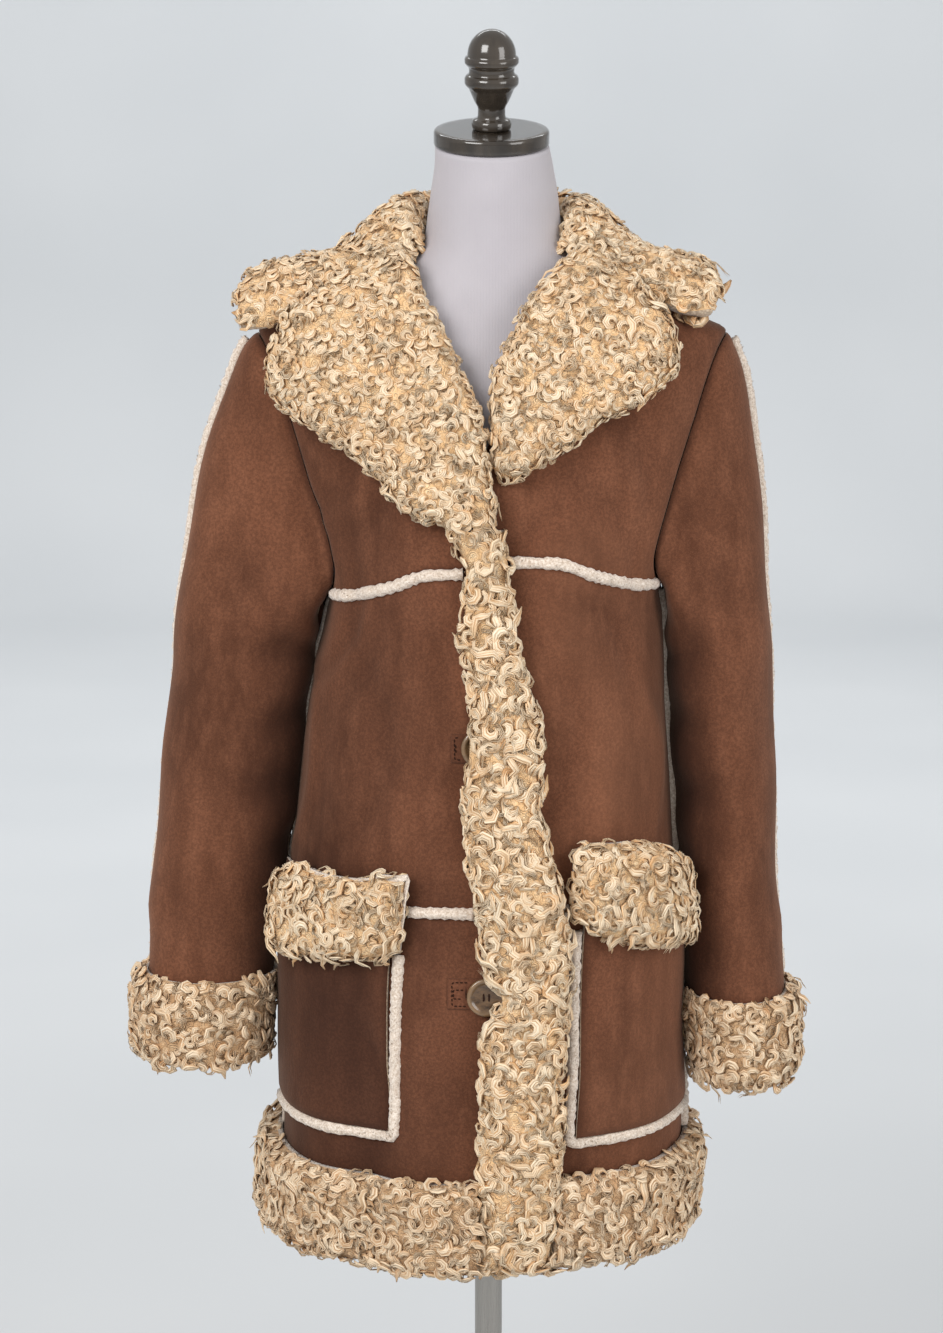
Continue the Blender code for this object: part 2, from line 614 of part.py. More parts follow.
def make_form():
    """Jersey torso: the body surface drawn in, with a waist, and the neck above it."""
    around = 2 * PI * even(36)[:-1]
    rings = []
    for z in FORM_Z:
        depth = read(FORM_INSET, z, "z", "depth")
        ring = body(around, z) - outward(around, z) * depth
        if z == FORM_FOOT_Z:
            ring[:, 2] = z
        rings.append(ring)
    for row in NECK:
        y = row.centre_y + row.half_depth * np.sin(around)
        x = row.centre_x + row.half_width * np.cos(around)
        rings.append(np.stack([x, y, row.z + y * np.tan(np.radians(row.tilt))], -1))
    rings = np.array(rings)
    count = len(around)
    points = rings.reshape(-1, 3)
    faces = []
    for i in range(len(rings) - 1):
        for j in range(count):
            k = (j + 1) % count
            faces.append((i * count + j, i * count + k, (i + 1) * count + k, (i + 1) * count + j))
    faces.append(tuple(reversed(range(count))))
    faces.append(tuple(range((len(rings) - 1) * count, len(rings) * count)))
    add_solid("form_torso", points, faces, (JERSEY, 0.8))


def make_stand():
    """Cap plate and turned finial on the neck, pole under the torso, round base."""
    lean = np.array([0.0, -np.sin(PLATE_TILT), np.cos(PLATE_TILT)])
    bevel = 0.0012
    plate = [(0, 0), (PLATE_RADIUS - bevel, 0), (PLATE_RADIUS, bevel), (PLATE_RADIUS, PLATE_HEIGHT - bevel),
             (PLATE_RADIUS - bevel, PLATE_HEIGHT), (0, PLATE_HEIGHT)]
    lathe("neck_cap", plate, 36, (DARK_WOOD, 0.15), PLATE_TOP - lean * PLATE_HEIGHT, PLATE_TILT)

    foot = 0.0158
    stem = 0.0113
    ridge = 0.0223
    ball = 0.0200
    ball_foot = 0.0605
    ball_height = 0.0215
    profile = [(0, 0), (foot, 0), (foot + 0.0006, 0.0040), (foot, 0.0082), (stem, 0.0092), (stem, 0.0165),
               (0.0145, 0.0235), (0.0190, 0.0340), (ridge, 0.0375), (ridge, 0.0425), (0.0188, 0.0460),
               (0.0186, 0.0500), (ridge, 0.0550), (ridge, 0.0588)]
    dome = [(ball * np.cos(a), ball_foot + ball_height * np.sin(a)) for a in np.radians([0, 22, 44, 66])]
    profile += dome + [(0, ball_foot + ball_height)]
    lathe("finial", profile, 20, (DARK_WOOD, 0.12), PLATE_TOP + lean * SEAM, PLATE_TILT)

    bevel = 0.003
    base = [(0, 0), (BASE_RADIUS, 0), (BASE_RADIUS, BASE_HEIGHT - bevel),
            (BASE_RADIUS - bevel, BASE_HEIGHT), (0, BASE_HEIGHT)]
    lathe("base_plate", base, 40, (STEEL, 0.35, 1.0))
    pole = [(0, BASE_HEIGHT + SEAM), (POLE_RADIUS, BASE_HEIGHT + SEAM),
            (POLE_RADIUS, FORM_FOOT_Z - SEAM), (0, FORM_FOOT_Z - SEAM)]
    lathe("pole", pole, 20, (STEEL, 0.3, 1.0))


# ---------------------------------------------------------------- body panels
SHOULDER_SHARE = 0.22    # of the back yoke's upper edge, at either end
SHARES_FRONT = even(12)
SHARES_BACK = np.concatenate([even(4) * SHOULDER_SHARE,
                              SHOULDER_SHARE + even(11)[1:-1] * (1 - 2 * SHOULDER_SHARE),
                              1 - even(4)[::-1] * SHOULDER_SHARE])
ROWS_YOKE = 1 - (1 - even(10)) ** 1.3
EDGES = {RIGHT: OVER_EDGE, LEFT: UNDER_EDGE}
ROLLS = {RIGHT: OVER_ROLL, LEFT: UNDER_ROLL}
WORD = {RIGHT: "right", LEFT: "left"}


def front_panels(side):
    """Yoke, body and skirt of one front."""
    edge = EDGES[side]
    lifted = lap if side == RIGHT else None

    def edge_angle(z):
        return front_angle(read(edge, z, "z", "x"), z)

    def side_angle(z):
        return np.full(np.shape(z), float(turned(side, SIDE_TURN)))

    chest = front_seam(side, edge[-1].x, chest_z)
    hip = front_seam(side, float(read(edge, HIP_Z, "z", "x")), level(HIP_Z))
    hem = front_seam(side, float(read(edge, HEM_Z, "z", "x")), level(HEM_Z))
    top_z = float(chest_z(side, -PI / 2))
    side_z = float(chest_z(side, SIDE_TURN))

    yoke = patch(chest, shoulder(side), roll_line(side, ROLLS[side]), armhole(side, False), SHARES_FRONT, ROWS_YOKE)
    panel("yoke_front_" + WORD[side], yoke, lifted)
    middle = patch(hip, chest, upright(HIP_Z, top_z, edge_angle), upright(HIP_Z, side_z, side_angle),
                   SHARES_FRONT, even(6))
    panel("body_front_" + WORD[side], middle, lifted)
    skirt = patch(hem, hip, upright(HEM_Z, HIP_Z, edge_angle), upright(HEM_Z, HIP_Z, side_angle),
                  SHARES_FRONT, even(6))
    panel("skirt_front_" + WORD[side], skirt, lifted)


def back_panels():
    """Yoke, body and skirt of the back, each in one piece."""
    right_angle = float(turned(RIGHT, SIDE_TURN, behind=True))
    neck_share = 1 - 2 * SHOULDER_SHARE

    def head(t):
        angle = PI * (1 - np.clip((t - SHOULDER_SHARE) / neck_share, 0, 1))
        out = np.maximum(SHOULDER_SHARE - t, t - (1 - SHOULDER_SHARE)) / SHOULDER_SHARE
        return np.stack([angle, NECK_Z + (TIP_Z - NECK_Z) * np.clip(out, 0, 1)], -1)

    chest = back_seam(back_chest_z)
    hip = back_seam(lambda t: np.full(np.shape(t), HIP_Z))
    hem = back_seam(lambda t: np.full(np.shape(t), HEM_Z))
    yoke = patch(chest, head, armhole(RIGHT, True), armhole(LEFT, True), SHARES_BACK, ROWS_YOKE)
    panel("yoke_back", yoke)
    for name, foot, top, low, high in (
            ("body_back", hip, chest, (HIP_Z, HIP_Z), (back_chest_z(0.0), back_chest_z(1.0))),
            ("skirt_back", hem, hip, (HEM_Z, HEM_Z), (HIP_Z, HIP_Z))):
        near = upright(low[0], high[0], lambda z: np.full(np.shape(z), right_angle))
        far = upright(low[1], high[1], lambda z: np.full(np.shape(z), float(SIDE_TURN)))
        panel(name, patch(foot, top, near, far, SHARES_BACK, even(6)))


# ---------------------------------------------------------------- sleeves
def sleeve_ring(side, turn, z):
    """Point of the sleeve's tube; turn 0..1 runs from the underarm over the front to the
    outer seam, 1..2 from there over the back to the underarm again."""
    table = SLEEVES[side]
    z = np.asarray(z, float)
    rows = table[::-1]
    turn = np.mod(turn, 2.0)
    angle = np.where(turn <= 1, PI + (PI + OUTSEAM) * turn, 2 * PI + OUTSEAM + (PI - OUTSEAM) * (turn - 1))
    near_body = np.exp(-((np.mod(turn + 1, 2) - 1 - INNER_AHEAD) / INNER_SPAN) ** 2)
    x = (read(rows, z, "z", "centre_x") + side * read(rows, z, "z", "half_width") * np.cos(angle)
         - side * read(rows, z, "z", "inner") * near_body)
    y = read(rows, z, "z", "centre_y") + read(rows, z, "z", "half_depth") * np.sin(angle)
    return np.stack(np.broadcast_arrays(x, y, z), -1)


def armhole_point(side, turn):
    """Place on the armhole for the sleeve's turn 0..2."""
    turn = np.mod(turn, 2.0)
    front = armhole(side, False)(np.clip(turn, 0, 1))
    back = armhole(side, True)(np.clip(2 - turn, 0, 1))
    return np.where((turn <= 1)[..., None], front, back)


def sleeve(side, turn, down):
    """Point of the sleeve's outer surface: down 0..1 is the cap, 1..2 the tube."""
    turn, down = np.broadcast_arrays(np.asarray(turn, float), np.asarray(down, float))
    table = SLEEVES[side]
    place = armhole_point(side, turn)
    start = body(place[..., 0], place[..., 1])
    normal = outward(place[..., 0], place[..., 1])
    drop = (start[..., 2:] - table[0].z)
    tall = (TIP_Z - table[0].z)
    steep = -0.35 - UNDERARM_STEEP * (1 - drop / tall) ** 2
    leave = np.concatenate([np.full(steep.shape, float(side)), np.zeros(steep.shape), steep], -1) + 0.25 * normal
    leave /= np.linalg.norm(leave, axis=-1, keepdims=True)
    reach = 0.030 + (CAP_REACH[side] - 0.030) * drop / tall
    start = start + leave * ARMHOLE_GAP
    stop = sleeve_ring(side, turn, table[0].z)
    fall = np.array([0.0, 0.0, -1.0]) * drop * 1.05
    t = np.clip(down, 0, 1)[..., None]
    cap = ((1 + 2 * t) * (1 - t) ** 2 * start + t * (1 - t) ** 2 * leave * reach
           + t * t * (3 - 2 * t) * stop - t * t * (1 - t) * fall)
    z = table[0].z + (table[-1].z - table[0].z) * np.clip(down - 1, 0, 1)
    return np.where((down <= 1)[..., None], cap, sleeve_ring(side, turn, z))


def sleeve_normal(side, turn, down):
    """Unit normal of the sleeve, away from the arm."""
    step = 1e-3
    around = sleeve(side, turn + step, down) - sleeve(side, turn - step, down)
    middle = np.clip(down, step, 2 - step)
    lengthwise = sleeve(side, turn, middle + step) - sleeve(side, turn, middle - step)
    normal = np.cross(around, lengthwise) * -side
    return normal / np.linalg.norm(normal, axis=-1, keepdims=True)


def down_at(side, z):
    """The sleeve's second coordinate at a height of its tube."""
    table = SLEEVES[side]
    return 1 + (z - table[0].z) / (table[-1].z - table[0].z)


def make_sleeve(side):
    """Front and back panel, the strip on the outer seam and the fur cuff."""
    foot, head = CUFF_Z[side]
    tube = np.linspace(SLEEVES[side][0].z, head, 5)[1:]
    downs = np.concatenate([even(6), down_at(side, tube), [2.0]])
    front_turns = 1 - (1 - even(8)) ** 1.3
    back_turns = 1 + even(7) ** 1.3
    for name, turns in (("front", front_turns), ("back", back_turns)):
        turn, down = np.meshgrid(turns, downs)
        base = trimmed(sleeve(side, turn, down))
        wall("sleeve_%s_%s" % (WORD[side], name), base, sleeve_normal(side, turn, down), -WALL, 0.0, (SUEDE, 0.85))

    downs = np.linspace(0.10, down_at(side, head + 0.004), 18)
    path = sleeve(side, 1.0, downs)
    strip("sleeve_trim_" + WORD[side], path, sleeve_normal(side, 1.0, downs))

    turns = np.concatenate([front_turns, back_turns[1:-1]])
    turn, down = np.meshgrid(turns, down_at(side, head + (foot - head) * ends(5)))
    base = sleeve(side, turn, down)
    base[..., 2] = (head + (foot - head) * ends(5))[:, None]
    normal = sleeve_normal(side, turn, down)
    inner_side = 0.5 + 0.5 * np.cos(PI * turn)
    thick = CUFF_FUR + (CUFF_INSIDE - CUFF_FUR) * inner_side ** 1.5
    rounded = np.sqrt(1 - (1 - np.minimum(1, 3.2 * np.minimum(ends(5), 1 - ends(5)))) ** 2)[:, None]
    top = 0.004 + (thick - 0.004) * rounded
    wall("cuff_" + WORD[side], base, normal, REST + 0.0002, top, (FLEECE, 0.95), ring=True)


# ---------------------------------------------------------------- collar, lapels, front band
def spots_line(side, spots):
    """Line on the front through places given by x and z."""
    x = np.array(column(spots, "x"))
    z = np.array(column(spots, "z"))
    return route(front_angle(x, z), z)


def between(first, last):
    """Straight line in (angle, z) between two places."""
    return lambda t: first + (last - first) * np.asarray(t)[..., None]


def make_lapel(side, outer, inner):
    outer = spots_line(side, outer)
    inner = spots_line(side, inner)
    one = np.array([0.0, 1.0])
    head = between(inner(one)[0], outer(one)[0])
    foot = between(inner(one)[1], outer(one)[1])
    places = patch(head, foot, inner, outer, ends(8), ends(11))
    low = REST + 0.0040 * np.minimum(1, 2.5 * ends(8))
    pad("lapel_" + WORD[side], places, FUR, low=low, lifted=lap if side == RIGHT else None,
        foot=False, head=side == LEFT)


def make_stand_collar():
    """The collar's stand: a wall from one front of the neck round the back to the other."""
    angle, z = np.meshgrid(STAND_FRONT + (PI - 2 * STAND_FRONT) * even(20), column(STAND, "z"))
    x = BODY[-1].centre_x + read(STAND, z, "z", "half_width") * np.cos(angle)
    y = read(STAND, z, "z", "half_depth") * np.sin(angle)
    base = np.stack([x, y, z], -1)
    normal = np.stack([np.cos(angle), np.sin(angle), np.zeros_like(angle)], -1)
    wall("collar_stand", base, normal, -STAND_WALL, 0.0, (SUEDE, 0.85))


def make_collar():
    """Fur leaf in one piece round the neck, falling on shoulders and back."""
    lines = np.array([right[::-1] + left[1:] for right, left in zip(LEAF_RIGHT, LEAF_LEFT)])
    steps = np.linalg.norm(np.diff(lines[-1], axis=0), axis=1)
    run = np.concatenate([[0.0], np.cumsum(steps)])
    at = run[-1] * ends(26)
    lines = np.array([[through(at, run, line[:, i]) for i in range(3)] for line in lines])
    base = np.array([[through(ends(7), LEAF_LINES, lines[:, i, j]) for i in range(3)] for j in range(len(at))])
    base = base.swapaxes(1, 2)
    normal = np.cross(np.gradient(base, axis=0), np.gradient(base, axis=1))
    normal /= np.linalg.norm(normal, axis=-1, keepdims=True)
    normal *= np.sign(normal[..., 2:])
    top = puff(base, COLLAR_FUR / 2, 0.003)
    wall("collar", base, normal, -top, top, (FLEECE, 0.95))


def make_band():
    """Long fur down the front edge, from the lapel to the hem."""
    z = np.array(column(BAND, "z"))
    left = route(front_angle(np.array(column(BAND, "left")), z), z)
    right = route(front_angle(np.array(column(BAND, "right")), z), z)
    one = np.array([0.0, 1.0])
    foot = between(left(one)[0], right(one)[0])
    head = between(left(one)[1], right(one)[1])
    places = patch(foot, head, left, right, ends(6), even(26))
    base = body(places[..., 0], places[..., 1])
    normal = outward(places[..., 0], places[..., 1])
    low = np.full(base.shape[:2], LAP + REST)
    for button in BUTTONS:
        away = np.hypot(base[..., 0] - button.x, base[..., 2] - button.z)
        low += 0.0065 * (1 - ease((away - BUTTON_RADIUS - 0.016) / 0.012))
    top = LAP + puff(base, FUR, 0.006, head=False)
    wall("front_edge_fur", base, normal, low, np.maximum(top, low + 0.004), (FLEECE, 0.95))


def make_hem_fur():
    """Fur round the hem in three lengths, parted at the side seams."""
    side_gap = 0.004
    for side in (RIGHT, LEFT):
        edge = "left" if side == RIGHT else "right"
        inset = -0.0015 if side == RIGHT else 0.0015
        start_x = read(BAND, np.array([FUR_HEM_Z, FUR_HEM_TOP]), "z", edge) + inset
        start = front_angle(start_x, np.array([FUR_HEM_Z, FUR_HEM_TOP]))
        stop = float(turned(side, SIDE_TURN - side_gap))
        near = between(np.array([start[0], FUR_HEM_Z]), np.array([start[1], FUR_HEM_TOP]))
        far = between(np.array([stop, FUR_HEM_Z]), np.array([stop, FUR_HEM_TOP]))
        foot = between(np.array([start[0], FUR_HEM_Z]), np.array([stop, FUR_HEM_Z]))
        head = between(np.array([start[1], FUR_HEM_TOP]), np.array([stop, FUR_HEM_TOP]))
        places = patch(foot, head, near, far, even(14), ends(5))
        pad("hem_fur_" + WORD[side], places, HEM_FUR, low=REST + 0.0003, lifted=lap if side == RIGHT else None,
            near=False, far=False)
    start = float(turned(RIGHT, SIDE_TURN + side_gap, behind=True))
    stop = SIDE_TURN + side_gap
    angle, z = np.meshgrid(start + (stop - start) * even(24), FUR_HEM_Z + (FUR_HEM_TOP - FUR_HEM_Z) * ends(5))
    pad("hem_fur_back", np.stack([angle, z], -1), HEM_FUR, near=False, far=False)


# ---------------------------------------------------------------- pockets, seam strips, buttons
def make_pocket(side):
    """Suede patch, its wool strip down the inner side and along the foot, its fur top."""
    foot_x, head_x = POCKET_INNER_X[side]
    foot_z = POCKET_FOOT_Z[side]
    inset = TRIM_WIDTH / 2 + 0.0008
    fur = POCKET_FUR[side]

    def inner_x(z):
        return foot_x + (head_x - foot_x) * (z - foot_z) / (POCKET_HEAD_Z - foot_z)

    side_angle = float(turned(side, POCKET_SIDE_TURN))
    low_z = foot_z + inset
    corner = np.array([[front_angle(inner_x(z) + side * inset, z), z] for z in (low_z, POCKET_HEAD_Z)])
    far = np.array([[side_angle, low_z], [side_angle, POCKET_HEAD_Z]])
    places = patch(between(corner[0], far[0]), between(corner[1], far[1]), between(corner[0], corner[1]),
                   between(far[0], far[1]), even(9), even(4))
    base = body(places[..., 0], places[..., 1])
    normal = outward(places[..., 0], places[..., 1])
    lift = lap(places[..., 0], places[..., 1]) if side == RIGHT else 0.0
    wall("pocket_" + WORD[side], base, normal, lift + REST + 0.0002, lift + REST + WALL, (SUEDE, 0.85))

    top_z = float(read(fur, 0.2, "along", "foot")) - 0.003
    z = np.linspace(top_z, foot_z + 0.004, 9)
    down = np.stack([front_angle(inner_x(z), z), z], -1)
    start = front_angle(foot_x + side * 0.004, foot_z)
    run = np.linspace(start, side_angle, 13)
    sideways = np.stack([run, np.full(13, foot_z)], -1)
    path = np.concatenate([down, sideways])
    normal = outward(path[:, 0], path[:, 1])
    lift = lap(path[:, 0], path[:, 1]) if side == RIGHT else np.zeros(len(path))
    points = body(path[:, 0], path[:, 1]) + normal * lift[:, None]
    strip("pocket_trim_" + WORD[side], points, normal, height=0.0060)

    start = float(front_angle(POCKET_FUR_INNER_X[side], 0.5 * (fur[0].foot + fur[0].head)))
    stop = float(turned(side, POCKET_FUR_TURN))
    share = ends(9)
    angle = start + (stop - start) * share
    foot = read(fur, share, "along", "foot")
    head = read(fur, share, "along", "head")
    up = ends(5)[:, None]
    heights = foot + (head - foot) * up
    places = np.stack([np.broadcast_to(angle, heights.shape), heights], -1)
    base = body(places[..., 0], places[..., 1])
    normal = outward(places[..., 0], places[..., 1])
    lift = REST + WALL + REST + (lap(places[..., 0], places[..., 1]) if side == RIGHT else 0.0)
    wall("pocket_fur_" + WORD[side], base, normal, lift, lift + puff(base, FUR, 0.006), (FLEECE, 0.95))


def make_seam_strips():
    """Clipped wool strips that stand proud of the chest, hip and side seams."""
    drop = 0.0022
    clear = 0.0075
    for side in (RIGHT, LEFT):
        edge = "left" if side == RIGHT else "right"
        away = -0.0025 if side == RIGHT else 0.0025
        lifted = lap if side == RIGHT else None

        chest_mid = float(chest_z(side, -PI / 2))
        start = float(front_angle(read(BAND, chest_mid, "z", edge) + away, chest_mid))
        stop = float(turned(side, np.radians(-20.0)))

        def chest_line(t):
            angle = start + (stop - start) * t
            turn = angle if side == LEFT else -PI - angle
            return np.stack([angle, chest_z(side, turn) - drop], -1)
        surface_strip("chest_trim_" + WORD[side], chest_line, 14, lifted)

        start = float(front_angle(read(BAND, HIP_Z, "z", edge) + away, HIP_Z))
        stop = float(front_angle(POCKET_FUR_INNER_X[side] - side * 0.002, HIP_Z))
        surface_strip("hip_trim_" + WORD[side], between(np.array([start, HIP_Z]), np.array([stop, HIP_Z])),
                      5 if side == RIGHT else 3, lifted, low=REST - 0.0003)

        angle = float(turned(side, SIDE_TURN))
        top = float(chest_z(side, SIDE_TURN)) - 0.014
        surface_strip("side_trim_" + WORD[side],
                      between(np.array([angle, FUR_HEM_TOP + 0.002]), np.array([angle, top])), 16, height=0.0042)

    start = float(turned(RIGHT, np.radians(18.0), behind=True))
    stop = float(turned(LEFT, np.radians(18.0)))
    full = float(turned(RIGHT, SIDE_TURN, behind=True))

    def back_chest(t):
        angle = start + (stop - start) * t
        return np.stack([angle, back_chest_z((full - angle) / (full - SIDE_TURN)) - drop], -1)
    surface_strip("chest_trim_back", back_chest, 28, low=REST + 0.0005)
    turn = SIDE_TURN + clear / BODY[3].half_width
    hip = between(np.array([float(turned(RIGHT, turn, behind=True)), HIP_Z]),
                  np.array([float(turned(LEFT, turn)), HIP_Z]))
    surface_strip("hip_trim_back", hip, 30)


def make_buttons():
    """Turned horn discs with a raised rim, on the lapped front beside the fur."""
    r = BUTTON_RADIUS
    profile = [(0, 0), (r - 0.004, 0), (r - 0.0008, 0.0016), (r, 0.0030), (r - 0.0010, 0.0046),
               (r - 0.0032, 0.0048), (r - 0.0052, 0.0034), (0, 0.0034)]
    for button in BUTTONS:
        angle = front_angle(button.x, button.z)
        place = body(angle, button.z)
        normal = outward(angle, button.z)
        item = lathe(button.name, profile, 18, (HORN, 0.3))
        turn = np.array(normal)
        across = np.cross([0.0, 0.0, 1.0], turn)
        across /= np.linalg.norm(across)
        upward = np.cross(turn, across)
        frame = np.stack([across, upward, turn], 1)
        centre = place + normal * (LAP + REST / 2)
        for vertex in item.data.vertices:
            vertex.co = frame @ np.array(vertex.co) + centre


def clear_scene():
    for item in list(bpy.data.objects):
        bpy.data.objects.remove(item, do_unlink=True)


clear_scene()
make_form()
make_stand()
for wearer_side in (RIGHT, LEFT):
    front_panels(wearer_side)
    make_sleeve(wearer_side)
    make_pocket(wearer_side)
back_panels()
make_lapel(RIGHT, LAPEL_RIGHT_OUTER, LAPEL_RIGHT_INNER)
make_lapel(LEFT, LAPEL_LEFT_OUTER, LAPEL_LEFT_INNER)
make_stand_collar()
make_collar()
make_band()
make_hem_fur()
make_seam_strips()
make_buttons()
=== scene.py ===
"""Shearling coat on a limbless dress form: every piece in its finished look.

Right and left are the wearer's: the wearer's right side lies at -X, the front faces -Y.
"""

import bpy
import numpy as np
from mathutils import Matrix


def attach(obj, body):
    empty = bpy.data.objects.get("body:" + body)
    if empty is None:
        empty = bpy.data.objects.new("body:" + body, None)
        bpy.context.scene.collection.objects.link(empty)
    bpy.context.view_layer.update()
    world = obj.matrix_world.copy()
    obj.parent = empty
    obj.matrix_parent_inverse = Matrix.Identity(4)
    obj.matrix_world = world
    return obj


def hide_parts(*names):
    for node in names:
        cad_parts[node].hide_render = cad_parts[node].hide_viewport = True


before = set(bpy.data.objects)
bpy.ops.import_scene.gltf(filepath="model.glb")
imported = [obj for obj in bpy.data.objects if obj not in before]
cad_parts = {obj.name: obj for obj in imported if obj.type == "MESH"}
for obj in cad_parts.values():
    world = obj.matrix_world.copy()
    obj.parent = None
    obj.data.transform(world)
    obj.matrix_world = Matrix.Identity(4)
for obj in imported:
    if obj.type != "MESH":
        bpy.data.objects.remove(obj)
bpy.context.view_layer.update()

# ---------------------------------------------------------------- studio
# A camera a little above the collar, and a pale seamless sheet that runs from the floor
# up behind the form, lit by two large soft lamps and the room.
PI = np.pi
CAMERA_PLACE = (-0.015, -2.60, 1.55)
CAMERA_DOWN = np.radians(10.9)
LENS = 83.86                       # mm on a frame 36 mm high
SHEET_REACH = 7.0                  # half width, and depth in front and behind
SHEET_BEND = 0.9
SHEET_HEIGHT = 5.0
ROOM_LIGHT = 0.58

lens = bpy.data.cameras.new("camera")
lens.sensor_fit = "VERTICAL"
lens.sensor_height = 36.0
lens.lens = LENS
camera = bpy.data.objects.new("camera", lens)
camera.location = CAMERA_PLACE
camera.rotation_euler = (PI / 2 - CAMERA_DOWN, 0.0, 0.0)
bpy.context.scene.collection.objects.link(camera)
bpy.context.scene.camera = camera


def soft_lamp(name, place, aim, width, height, power, colour):
    """Rectangular area lamp at a place, turned towards an aim."""
    light = bpy.data.lights.new(name, "AREA")
    light.shape = "RECTANGLE"
    light.size = width
    light.size_y = height
    light.energy = power
    light.color = colour
    lamp = bpy.data.objects.new(name, light)
    away = np.array(place) - np.array(aim)
    lamp.location = place
    lamp.rotation_euler = (np.arctan2(np.hypot(away[0], away[1]), away[2]), 0.0,
                           np.arctan2(away[1], away[0]) + PI / 2)
    bpy.context.scene.collection.objects.link(lamp)


soft_lamp("lamp_front_left", (-1.9, -2.6, 2.9), (0, 0, 1.1), 1.8, 1.8, 90.0, (1.0, 0.985, 0.97))
soft_lamp("lamp_front_right", (2.3, -2.0, 1.9), (0, 0, 1.0), 1.4, 2.2, 40.0, (1.0, 0.985, 0.97))
soft_lamp("lamp_wall", (0.0, 3.3, 4.6), (0, 5.8, 0.4), 5.0, 1.6, 145.0, (0.96, 0.98, 1.0))

room = bpy.data.worlds.new("room")
room.use_nodes = True
room.node_tree.nodes["Background"].inputs["Color"].default_value = (1.0, 0.985, 0.965, 1.0)
room.node_tree.nodes["Background"].inputs["Strength"].default_value = ROOM_LIGHT
bpy.context.scene.world = room
bpy.context.scene.view_settings.view_transform = "Standard"


def even(count):
    """Shares 0..1 in equal steps."""
    return np.linspace(0.0, 1.0, count + 1)


def unit(vectors):
    """Vectors brought to length one."""
    return vectors / np.maximum(np.linalg.norm(vectors, axis=-1, keepdims=True), 1e-9)


def bell(x):
    """Soft bump: 1 at zero, gone by about 2."""
    return np.exp(-x ** 2)


def run_along(path):
    """Distance of each point of a path from its start."""
    return np.concatenate([[0.0], np.cumsum(np.linalg.norm(np.diff(path, axis=0), axis=1))])


def resampled(at, run, path):
    """Points of a path at the given distances along it."""
    return np.stack([np.interp(at, run, path[:, i]) for i in range(3)], -1)


def quads(rows, columns, first=0, ring=False):
    """Corner numbers of the cells of a grid of points; with ring the columns close."""
    index = first + np.arange(rows * columns).reshape(rows, columns)
    ahead = np.roll(index, -1, axis=1)
    if not ring:
        index, ahead = index[:, :-1], ahead[:, :-1]
    return np.stack([index[:-1], ahead[:-1], ahead[1:], index[1:]], -1).reshape(-1, 4)


def add_piece(name, points, cells, slots=None, materials=(), ends_of=None, **point_values):
    """Smooth mesh object from points and four-cornered cells, its faces turned outwards.

    The signed volume under all faces tells which way they face; ends_of adds faces with
    three corners.  Point values become attributes that the materials read.
    """
    points = np.asarray(points, float)
    tips = np.zeros((0, 3), int) if ends_of is None else ends_of
    threes = np.concatenate([cells[:, [0, 1, 2]], cells[:, [0, 2, 3]], tips])
    a, b, c = (points[threes[:, i]] for i in range(3))
    if np.einsum("ij,ij->", a, np.cross(b, c)) < 0:
        cells = cells[:, ::-1]
        tips = tips[:, ::-1]
    corners = np.concatenate([cells.ravel(), tips.ravel()])
    starts = np.concatenate([np.arange(len(cells)) * 4, cells.size + np.arange(len(tips)) * 3])
    mesh = bpy.data.meshes.new(name)
    mesh.vertices.add(len(points))
    mesh.vertices.foreach_set("co", points.ravel())
    mesh.loops.add(len(corners))
    mesh.loops.foreach_set("vertex_index", corners)
    mesh.polygons.add(len(starts))
    mesh.polygons.foreach_set("loop_start", starts)
    for made in materials:
        mesh.materials.append(made)
    if slots is not None:
        mesh.polygons.foreach_set("material_index", np.asarray(slots, np.int32))
    mesh.update(calc_edges=True)
    mesh.validate()
    mesh.shade_smooth()
    for key, values in point_values.items():
        layer = mesh.attributes.new(key, "FLOAT", "POINT")
        layer.data.foreach_set("value", np.ascontiguousarray(values, np.float32).ravel())
    item = bpy.data.objects.new(name, mesh)
    bpy.context.scene.collection.objects.link(item)
    return item


def new_material(name, roughness, **sockets):
    """Material with its node tree and shader; constants go straight onto the shader."""
    made = bpy.data.materials.new(name)
    made.use_nodes = True
    shader = made.node_tree.nodes["Principled BSDF"]
    shader.inputs["Roughness"].default_value = roughness
    for key, value in sockets.items():
        shader.inputs[key.replace("_", " ")].default_value = value
    return made, made.node_tree, shader


def add_node(tree, kind, feeds=None, **settings):
    """Node with its settings; feeds give inputs by name or number, as values or sockets."""
    made = tree.nodes.new("ShaderNode" + kind)
    for key, value in settings.items():
        setattr(made, key, value)
    for key, value in (feeds or {}).items():
        if isinstance(value, bpy.types.NodeSocket):
            tree.links.new(value, made.inputs[key])
        else:
            made.inputs[key].default_value = value
    return made


def object_place(tree):
    """Place on the object, for a texture."""
    return add_node(tree, "TexCoord").outputs["Object"]


def read_values(tree, *names):
    """Point values of the mesh, by name."""
    return [add_node(tree, "Attribute", attribute_name=name).outputs["Fac"] for name in names]


def noise(tree, scale, detail=2.0, stretch=(1, 1, 1), where=None, roughness=0.5):
    """Noise value on object coordinates (or others), stretched per axis."""
    where = object_place(tree) if where is None else where
    placed = add_node(tree, "Mapping", {"Vector": where, "Scale": stretch}).outputs[0]
    return add_node(tree, "TexNoise", {"Vector": placed, "Scale": scale, "Detail": detail,
                                       "Roughness": roughness}).outputs["Fac"]


